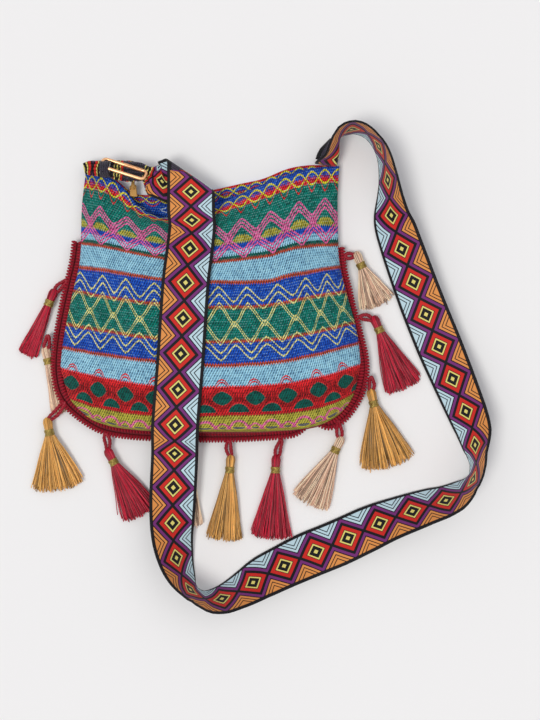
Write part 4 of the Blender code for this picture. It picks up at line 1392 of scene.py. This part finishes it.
def cross_section(middle, way, roll, bend, half):
    """Points across the webbing at one place, from its blue edge to its orange edge."""
    left = Vector((-way.y, way.x, 0)).normalized()
    up = way.cross(left)
    if up.z < 0:
        up = -up
    count = len(STATIONS_ACROSS)
    centre = count // 2
    points = {centre: middle}
    step = 2 * half / (count - 1)

    def heading(c):
        turn = max(-0.5, min(0.5, c / 0.4))
        a = math.radians(roll - bend * turn)
        return left * math.cos(a) + up * math.sin(a)

    for k in range(centre + 1, count):
        points[k] = points[k - 1] + heading((STATIONS_ACROSS[k - 1] + STATIONS_ACROSS[k]) / 2) * step
    for k in range(centre - 1, -1, -1):
        points[k] = points[k + 1] - heading((STATIONS_ACROSS[k] + STATIONS_ACROSS[k + 1]) / 2) * step
    return [points[k] for k in range(count)]


def strap_rows(stations, step, half, before=None, after=None):
    spots = [Vector((x, y, z)) * MM for x, y, z, _, _ in stations]
    line, values = [], []
    for i in range(len(spots) - 1):
        a = spots[i - 1] if i else (before or 2 * spots[0] - spots[1])
        b, c = spots[i], spots[i + 1]
        d = spots[i + 2] if i + 2 < len(spots) else (after or 2 * c - b)
        parts = max(1, round((c - b).length / step))
        for k in range(parts + (i == len(spots) - 2)):
            t = k / parts
            line.append(between(a, b, c, d, t))
            values.append([mix(stations[i][n], stations[i + 1][n], t) for n in (3, 4)])
    values = np.array(values)
    rows = []
    for i, p in enumerate(line):
        a = line[i - 1] if i else (before or p)
        b = line[i + 1] if i + 1 < len(line) else (after or p)
        rows.append(cross_section(p, (b - a).normalized(), values[i][0], values[i][1], half))
    return rows


def gathered_rows(stations, step, flipped, start=None):
    """Rows of webbing drawn together in pleats, with the blue edge on the right of travel if flipped."""
    spots = even_line([Vector(at[:3]) * MM for at in stations], step)
    given = np.array([at[:3] for at in stations]) * MM
    gone = np.r_[0, np.cumsum(np.linalg.norm(np.diff(given, axis=0), axis=1))]
    width = np.interp(np.linspace(0, gone[-1], len(spots)), gone, [at[3] * MM for at in stations])
    sides = -sideways(spots) * (-1 if flipped else 1)
    c = STATIONS_ACROSS
    leg = sizes().webbing_width / PLEATS
    rows = []
    for i, (spot, side, half) in enumerate(zip(spots, sides, width)):
        drift = 0.5 * math.sin(i * 0.35) * 0.35
        wave = np.abs(((c + 1) * PLEATS / 4 + drift) % 1 * 2 - 1) * 2 - 1
        high = math.sqrt(max(0.0, leg**2 - (2 * half / PLEATS) ** 2)) / 2
        bow = 1.6 * MM * (1 - c**2)
        row = spot + side * (c * half)[:, None] + np.outer(wave * high + bow, (0, 0, 1))
        if start is not None and i < 5:
            row = mix(np.array([tuple(q) for q in start]) + (spot - spots[0]), row, float(ease((i + 1) / 6)))
        rows.append([Vector(q) for q in row])
    return rows


def folded_rows():
    """Rows where the webbing goes over the slanting fold and comes back under itself."""
    along_fold = Vector((-math.cos(FOLD_SLANT), math.sin(FOLD_SLANT), 0))
    over = Vector((math.sin(FOLD_SLANT), math.cos(FOLD_SLANT), 0))
    rows = []
    count = 36
    for k in range(count + 1):
        s = mix(FOLD_START, FOLD_END, k / count)
        row = []
        for c in STATIONS_ACROSS:
            flat = Vector((-c * sizes().webbing_width / 2, s, 0))
            along = flat.dot(along_fold)
            beyond = flat.dot(over)
            turn = beyond / FOLD_RADIUS
            if turn <= 0:
                reach, height = beyond, 0.0
            elif turn < math.pi:
                reach = FOLD_RADIUS * math.sin(turn)
                height = -FOLD_RADIUS * (1 - math.cos(turn))
            else:
                reach = -(beyond - math.pi * FOLD_RADIUS)
                height = -2 * FOLD_RADIUS
            row.append(FOLD_AT + along_fold * along + over * reach + Vector((0, 0, height)))
        rows.append(row)
    return rows


def lap_rows():
    """Rows of the webbing that laps the buckle's left end, drawn in at its middle and lightly pleated."""
    spots = even_line([Vector((0.0, y, z)) * MM for y, z in LAP], 0.8 * MM)
    low, high = LAP_ACROSS
    c = STATIONS_ACROSS
    rows = []
    for i, spot in enumerate(spots):
        pinch = 1 - 0.22 * math.sin(math.pi * i / (len(spots) - 1))
        x = ((low + high) / 2 + c * (high - low) / 2 * pinch) * MM
        lift = 0.45 * MM * np.cos(c * 14 + 0.15 * i) - 1.2 * MM * c**2
        rows.append([Vector((a, spot[1], spot[2] + b)) for a, b in zip(x, lift)])
    return rows


def seated():
    """The route, with the strap's height over the bag taken from the front cloth."""
    points = front_surface(60, 60)[0].reshape(-1, 3)
    found = []
    for x, y, z, roll, bend in ROUTE:
        near = (np.abs(points[:, 0] - x * MM) < 19 * MM) & (np.abs(points[:, 1] - y * MM) < 11 * MM)
        if x < 0 and near.any():
            over_cloth = (points[near, 2].max() + 1.5 * MM) / MM + 0.1
            z = over_cloth if z is None else max(z, over_cloth)
        found.append((x, y, z, roll, bend))
    return found


def pattern_along(middle, mirrored_from, squeeze):
    """Where the pattern is at each row of the webbing, in metres, and the webbing's length."""
    along = np.zeros(len(middle))
    along[1:] = np.cumsum(np.linalg.norm(np.diff(middle, axis=0), axis=1))
    length = along[-1]
    if mirrored_from is not None:
        on_bag = (middle[:, 0] < 0) & (np.arange(len(middle)) < mirrored_from)
        more = np.where((middle[:, 1] > SHORTENED_FROM) & (middle[:, 0] < 0), SHORTENED, 1.0)[1:]
        along[1:] = np.cumsum(np.diff(along) * more)
        along -= along[np.argmin(np.where(on_bag, np.abs(middle[:, 1] - DIAMOND_AT), 1.0))]
        along[mirrored_from:] += FOLDED_SHIFT
    rate = np.where(squeeze < GATHERED_UNDER, GATHERED_RATE, 1.0)
    return along[0] + np.r_[0, np.cumsum(np.diff(along) * rate[1:])], length


def ribbon_mesh(name, rows, thick, front, back, mirrored_from=None, squeeze=None):
    """Webbing with two faces, its edges closed, its front face towards the rows' upper side."""
    points = np.array([[tuple(p) for p in row] for row in rows])
    count, across = points.shape[:2]
    if squeeze is None:
        squeeze = np.ones(count)
    along, length = pattern_along(points[:, across // 2], mirrored_from, squeeze)
    a_way = np.gradient(points, axis=0)
    b_way = np.gradient(points, axis=1)
    normal = np.cross(a_way, b_way)
    normal /= np.maximum(np.linalg.norm(normal, axis=2), 1e-12)[..., None]
    half = thick / 2 * np.where(np.abs(STATIONS_ACROSS) > 0.99, 0.55, 1.0)[None, :, None]
    over = STATIONS_ACROSS[None, :] * PATTERN_HALF * squeeze[:, None]
    uv = np.stack([np.broadcast_to(along[:, None] / MM, (count, across)), over], -1)
    at = points[:, across // 2, 0] / MM
    dark = (squeeze < GATHERED_UNDER) & np.any([(at > low) & (at < high) for low, high in DARK], axis=0)
    verts = np.concatenate([(points + normal * half).reshape(-1, 3), (points - normal * half).reshape(-1, 3)])
    flat_uv = np.concatenate([uv.reshape(-1, 2), uv.reshape(-1, 2)])
    base = count * across
    faces, kinds = [], []
    for i in range(count - 1):
        turned = mirrored_from is not None and i >= mirrored_from
        for j in range(across - 1):
            a = i * across + j
            faces.append((a, a + across, a + across + 1, a + 1))
            kinds.append(1 if turned or dark[i] else 0)
            faces.append((base + a, base + a + 1, base + a + across + 1, base + a + across))
            kinds.append(1 if dark[i] else 2 if turned else 1)
        for j, flip in ((0, False), (across - 1, True)):
            a = i * across + j
            quad = (a, base + a, base + a + across, a + across)
            faces.append(quad[::-1] if flip else quad)
            kinds.append(0)
    for i, flip in ((0, True), (count - 1, False)):
        for j in range(across - 1):
            a = i * across + j
            quad = (a, base + a, base + a + 1, a + 1)
            faces.append(quad if flip else quad[::-1])
            kinds.append(0)
    mesh = bpy.data.meshes.new(name)
    mesh.from_pydata(verts.tolist(), [], faces)
    layer = mesh.uv_layers.new(name="weave")
    corners = np.empty(len(mesh.loops), np.int32)
    mesh.loops.foreach_get("vertex_index", corners)
    values = flat_uv[corners]
    kinds = np.array(kinds)
    owners = np.repeat(np.arange(len(kinds)), 4)
    flipped = kinds[owners] == 2
    values[flipped, 1] *= -1
    layer.data.foreach_set("uv", values.astype(np.float32).ravel())
    mesh.materials.append(front)
    mesh.materials.append(back)
    mesh.polygons.foreach_set("material_index", np.where(kinds == 1, 1, 0).astype(np.int32))
    bm = bmesh.new()
    bm.from_mesh(mesh)
    bmesh.ops.recalc_face_normals(bm, faces=bm.faces)
    bm.to_mesh(mesh)
    bm.free()
    return mesh, length


class BAG_OT_strap(bpy.types.Operator):
    """Makes the webbing strap and the short tab at the mouth's left corner"""

    bl_idname = "bag.strap"
    bl_label = "Webbing Strap"

    def execute(self, context):
        front, back = webbing("patterned_webbing"), webbing("webbing_wrong_side", False)
        half, thick = sizes().webbing_width / 2, sizes().webbing_thick
        fold = folded_rows()
        middle = len(STATIONS_ACROSS) // 2
        rows = strap_rows(seated(), 3.5 * MM, half, after=fold[0][middle])
        turned = len(rows) + len(fold) * 0.62
        rows += fold
        flat = len(rows)
        rows += gathered_rows(TO_BUCKLE, 1.2 * MM, True, fold[-1])
        squeeze = np.interp(np.arange(len(rows)), [flat + 3, flat + 8], [1.0, GATHERED_SHARE])
        mesh, length = ribbon_mesh("webbing_strap", rows, thick, front, back, int(turned), squeeze)
        obj = new_piece("webbing_strap", mesh, None, "bag", ["strap_webbing"])
        mesh, _ = ribbon_mesh("webbing_lap", lap_rows(), thick * 0.7, back, back)
        new_piece("webbing_lap", mesh, None, "bag", [])
        tab = gathered_rows(TAB, 1.2 * MM, False)
        squeeze = np.full(len(tab), GATHERED_SHARE)
        mesh, _ = ribbon_mesh("webbing_tab", tab, thick, front, back, None, squeeze)
        new_piece("webbing_tab", mesh, None, "bag", ["strap_tab"])
        return {"FINISHED"}


# The zip's two rows of teeth lie under the front cloth's mouth, in pixels
ZIP_LINE = [
    (137, 205), (145, 216), (160, 223), (190, 223), (213, 215), (240, 205), (270, 190), (300, 180),
    (330, 176),
]
ZIP_Z = 18 * MM  # height at which those pixels are read
# Each row's name, how far it lies below the cloth and its shift in y
ZIP_ROWS = (("front", 4.0 * MM, 0.0), ("back", 6.8 * MM, -1.6 * MM))
ZIP_START_Z = 3.4 * MM  # of the rows above the slider
TAPE_WIDTH = 6.0 * MM
ROD_CORNER = 3.2 * MM
GRIP_FROM, GRIP_TO, GRIP_TURNS, GRIP_WIRE = -1.0 * MM, 14.5 * MM, 15, 0.42 * MM
SLIDER_AT = Vector((-63.5, 99.0, 0)) * MM
SLIDER_SIZE = Vector((6.2, 9.5, 3.6)) * MM
PULL_HINGE = Vector((-63.5, 101.09, 9.2)) * MM
BUCKLE_AT = Vector((-69.0, 114.0, 25.8)) * MM
BUCKLE_SIZE = (40.0 * MM, 13.0 * MM)
BUCKLE_TURN = (-40.0, -17.5)  # its lean and its turn in degrees


def block(bm, size, at, taper=1.0):
    """A box of this size at this place, its far end made narrower by the taper."""
    made = bmesh.ops.create_cube(bm, size=1.0)["verts"]
    for v in made:
        wide = taper if v.co.y > 0 else 1.0
        v.co = Vector((v.co.x * size[0] * wide, v.co.y * size[1], v.co.z * size[2])) + Vector(at)
    return made


def bevelled(name, bm, width):
    """The mesh with its edges rounded."""
    edges = [e for e in bm.edges if e.calc_face_angle(0) > 0.6]
    bmesh.ops.bevel(bm, geom=edges, offset=width, segments=3, profile=0.6, affect="EDGES")
    mesh = bpy.data.meshes.new(name)
    bm.to_mesh(mesh)
    bm.free()
    return mesh


class BAG_OT_hardware(bpy.types.Operator):
    """Makes the buckle, the zip's rows of teeth, its slider and the slider's pull"""

    bl_idname = "bag.hardware"
    bl_label = "Buckle and Zip"

    def execute(self, context):
        rose = metal_paint("rose_gold", "rose", 0.3)
        brass = metal_paint("zip_brass", "brass", 0.34)
        self.buckle(rose)
        self.slider(brass)
        self.teeth(brass)
        return {"FINISHED"}

    def buckle(self, paint):
        rod, corner = sizes().buckle_rod, ROD_CORNER
        turn = Matrix.Rotation(math.radians(BUCKLE_TURN[1]), 3, "Z") @ Matrix.Rotation(
            math.radians(BUCKLE_TURN[0]), 3, "X"
        )
        line = []
        for cx, cy, start in ((1, 1, 0), (-1, 1, 90), (-1, -1, 180), (1, -1, 270)):
            for k in range(7):
                a = math.radians(start + 15 * k)
                flat = Vector((
                    cx * (BUCKLE_SIZE[0] / 2 - rod - corner) + corner * math.cos(a),
                    cy * (BUCKLE_SIZE[1] / 2 - rod - corner) + corner * math.sin(a),
                    0,
                ))
                line.append(BUCKLE_AT + turn @ flat)
        parts = [swept("rod", [line], rod * 0.92, paint, 14, cyclic=True)]
        # a wire wound round the right half of the upper bar, as a grip for the webbing
        sides = 14
        wound = []
        for i in range(GRIP_TURNS * sides + 1):
            a = 2 * math.pi * i / sides
            x = mix(GRIP_FROM, GRIP_TO, i / (GRIP_TURNS * sides))
            y = BUCKLE_SIZE[1] / 2 - rod + math.cos(a) * rod * 0.95
            wound.append(BUCKLE_AT + turn @ Vector((x, y, math.sin(a) * rod * 0.95)))
        parts.append(swept("grip", [wound], GRIP_WIRE, paint, 6))
        new_piece("buckle", joined_mesh("buckle", parts), paint, "bag", ["buckle_frame"])

    def slider(self, paint):
        low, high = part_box("zip_slider")
        w, l, h = SLIDER_SIZE
        middle = low[2] + h / 2
        bm = bmesh.new()
        for z in (low[2] + h * 0.16, low[2] + h * 0.84):
            block(bm, (w, l, h * 0.3), (SLIDER_AT.x, SLIDER_AT.y, z), 0.72)
        block(bm, (w * 0.24, l * 0.55, h * 0.6), (SLIDER_AT.x, SLIDER_AT.y + l * 0.12, middle))
        for way in (-1, 1):
            lug = (SLIDER_AT.x + way * 2.4 * MM, PULL_HINGE.y, PULL_HINGE.z - 0.2 * MM)
            block(bm, (0.9 * MM, 2.6 * MM, 2.4 * MM), lug)
        mesh = bevelled("slider", bm, 0.28 * MM)
        new_piece("slider", mesh, paint, "bag", ["zip_slider"], smooth=False)
        bm = bmesh.new()
        spin = Matrix.Translation(PULL_HINGE) @ Matrix.Rotation(math.pi / 2, 4, "Y")
        bmesh.ops.create_cone(
            bm, segments=20, radius1=0.85 * MM, radius2=0.85 * MM, depth=3.6 * MM, cap_ends=True, matrix=spin
        )
        block(bm, (3.4 * MM, 7.6 * MM, 0.8 * MM), PULL_HINGE + Vector((0, 4.0 * MM, 0)), 0.66)
        mesh = bevelled("pull", bm, 0.2 * MM)
        new_piece("pull", mesh, paint, "zip_pull", ["zip_pull"], smooth=False)

    def teeth(self, paint):
        tape = thread_paint("zip_tape_cloth", "blue", 0.2)
        flat = front_surface(60, 60)[0].reshape(-1, 3)
        for name, drop, shift in ZIP_ROWS:
            line = []
            for px, py in ZIP_LINE:
                x, y = drawn(px, py, ZIP_Z)
                near = np.argmin(np.hypot(flat[:, 0] - x, flat[:, 1] - y))
                line.append(Vector((x, y + shift, flat[near, 2] - drop)))
            line[0].z = SLIDER_SIZE[2] + ZIP_START_Z
            run = even_line(line, 1.0 * MM)
            values = {
                "Pitch": sizes().tooth_pitch,
                "Size": (1.2 * MM, 2.6 * MM, 1.5 * MM),
                "Slant": 0.0,
                "Jitter": 0.02,
                "Seed": 7,
                "Material": paint,
            }
            teeth = from_nodes("teeth", curve_lines("teeth", [run]), tree("ribs"), values)
            edge = run + sideways(run) * TAPE_WIDTH
            strip = grid_mesh("tape", np.stack([run, (run + edge) / 2, edge], 1), np.zeros((len(run), 3, 2)))
            strip.materials.append(tape)
            mesh = joined_mesh(f"zip_{name}_row", [teeth, strip])
            new_piece(f"zip_{name}_row", mesh, paint, "bag", [f"zip_teeth_{name}"])


FLOOR_HALF = 4  # metres, so that its edge lies outside every view
FLOOR_Z = -0.0004
SKY, SKY_STRENGTH = (0.94, 0.93, 1.0, 1.0), 0.55
# Each lamp's name, strength, angle in degrees and aim
LAMPS = (("key", 1.36, 22.0, (0.38, 0.27, -1.0)), ("fill", 0.35, 50.0, (-0.5, -0.3, -1.0)))
LAMP_COLOUR = (1.0, 0.985, 0.955)
LENS, SENSOR = 56.6, 36.0  # mm
NEAREST = 0.01  # metres that the camera sees from


class BAG_OT_stage(bpy.types.Operator):
    """Makes the pale floor, the soft lamps and the camera over the laid bag"""

    bl_idname = "bag.stage"
    bl_label = "Floor, Lamps and Camera"

    def execute(self, context):
        scene = context.scene
        paint = Paint("studio_floor", 0.9)
        paint.shader.inputs["Specular IOR Level"].default_value = 0.1
        paint.shader.inputs["Base Color"].default_value = tint("floor")
        mesh = bpy.data.meshes.new("studio_floor")
        corners = [(x * FLOOR_HALF, y * FLOOR_HALF, 0) for x, y in ((-1, -1), (1, -1), (1, 1), (-1, 1))]
        mesh.from_pydata(corners, [], [(0, 1, 2, 3)])
        mesh.materials.append(paint.material)
        floor = bpy.data.objects.new("studio_floor", mesh)
        scene.collection.objects.link(floor)
        floor.location.z = FLOOR_Z

        world = bpy.data.worlds.new("studio")
        world.use_nodes = True
        sky = world.node_tree.nodes["Background"]
        sky.inputs["Color"].default_value = SKY
        sky.inputs["Strength"].default_value = SKY_STRENGTH
        # seen straight by the camera, or in metal, the world has the floor's own tone
        tree = world.node_tree
        seen = add_node(tree, "ShaderNodeBackground", {"Color": tint("floor"), "Strength": 1.0})
        path = add_node(tree, "ShaderNodeLightPath")
        rays = path.outputs["Is Camera Ray"]
        for kind in ("Is Glossy Ray", "Is Transmission Ray"):
            inputs = {0: rays, 1: path.outputs[kind]}
            rays = add_node(tree, "ShaderNodeMath", inputs, operation="MAXIMUM").outputs[0]
        both = add_node(tree, "ShaderNodeMixShader", {0: rays, 1: sky.outputs[0], 2: seen.outputs[0]})
        tree.links.new(both.outputs[0], tree.nodes["World Output"].inputs["Surface"])
        scene.world = world
        # the key light comes from the lower left of the picture, the fill from its upper right
        for name, strength, angle, aim in LAMPS:
            lamp = bpy.data.lights.new(name, "SUN")
            lamp.energy = strength
            lamp.angle = math.radians(angle)
            lamp.color = LAMP_COLOUR
            obj = bpy.data.objects.new(name, lamp)
            obj.rotation_euler = Vector(aim).to_track_quat("-Z", "Y").to_euler()
            scene.collection.objects.link(obj)

        lens = bpy.data.cameras.new("camera")
        lens.lens = LENS
        lens.sensor_width = SENSOR
        lens.clip_start = NEAREST
        camera = bpy.data.objects.new("camera", lens)
        camera.location = CAMERA_AT
        scene.collection.objects.link(camera)
        scene.camera = camera
        scene.view_settings.view_transform = "Standard"
        return {"FINISHED"}


OPERATORS = [BAG_OT_stage, BAG_OT_cloth, BAG_OT_braid, BAG_OT_strap, BAG_OT_tassels, BAG_OT_hardware]


class BAG_PT_panel(bpy.types.Panel):
    """Lists the makers of the bag's pieces"""

    bl_idname = "BAG_PT_panel"
    bl_label = "Shoulder Bag"
    bl_space_type = "VIEW_3D"
    bl_region_type = "UI"
    bl_category = "Shoulder Bag"

    def draw(self, context):
        layout = self.layout
        for group in (context.scene.bag_sizes, context.scene.bag_colours):
            column = layout.column(align=True)
            for name in group.__annotations__:
                column.prop(group, name)
        for operator in OPERATORS:
            layout.operator(operator.bl_idname)


CLASSES = [BagSizes, BagColours, *OPERATORS, BAG_PT_panel]


def register():
    for made in CLASSES:
        bpy.utils.register_class(made)
    bpy.types.Scene.bag_sizes = bpy.props.PointerProperty(type=BagSizes)
    bpy.types.Scene.bag_colours = bpy.props.PointerProperty(type=BagColours)


def unregister():
    del bpy.types.Scene.bag_colours
    del bpy.types.Scene.bag_sizes
    for made in reversed(CLASSES):
        bpy.utils.unregister_class(made)


def main():
    register()
    for operator in OPERATORS:
        section, name = operator.bl_idname.split(".")
        getattr(getattr(bpy.ops, section), name)()


if __name__ == "__main__":
    main()
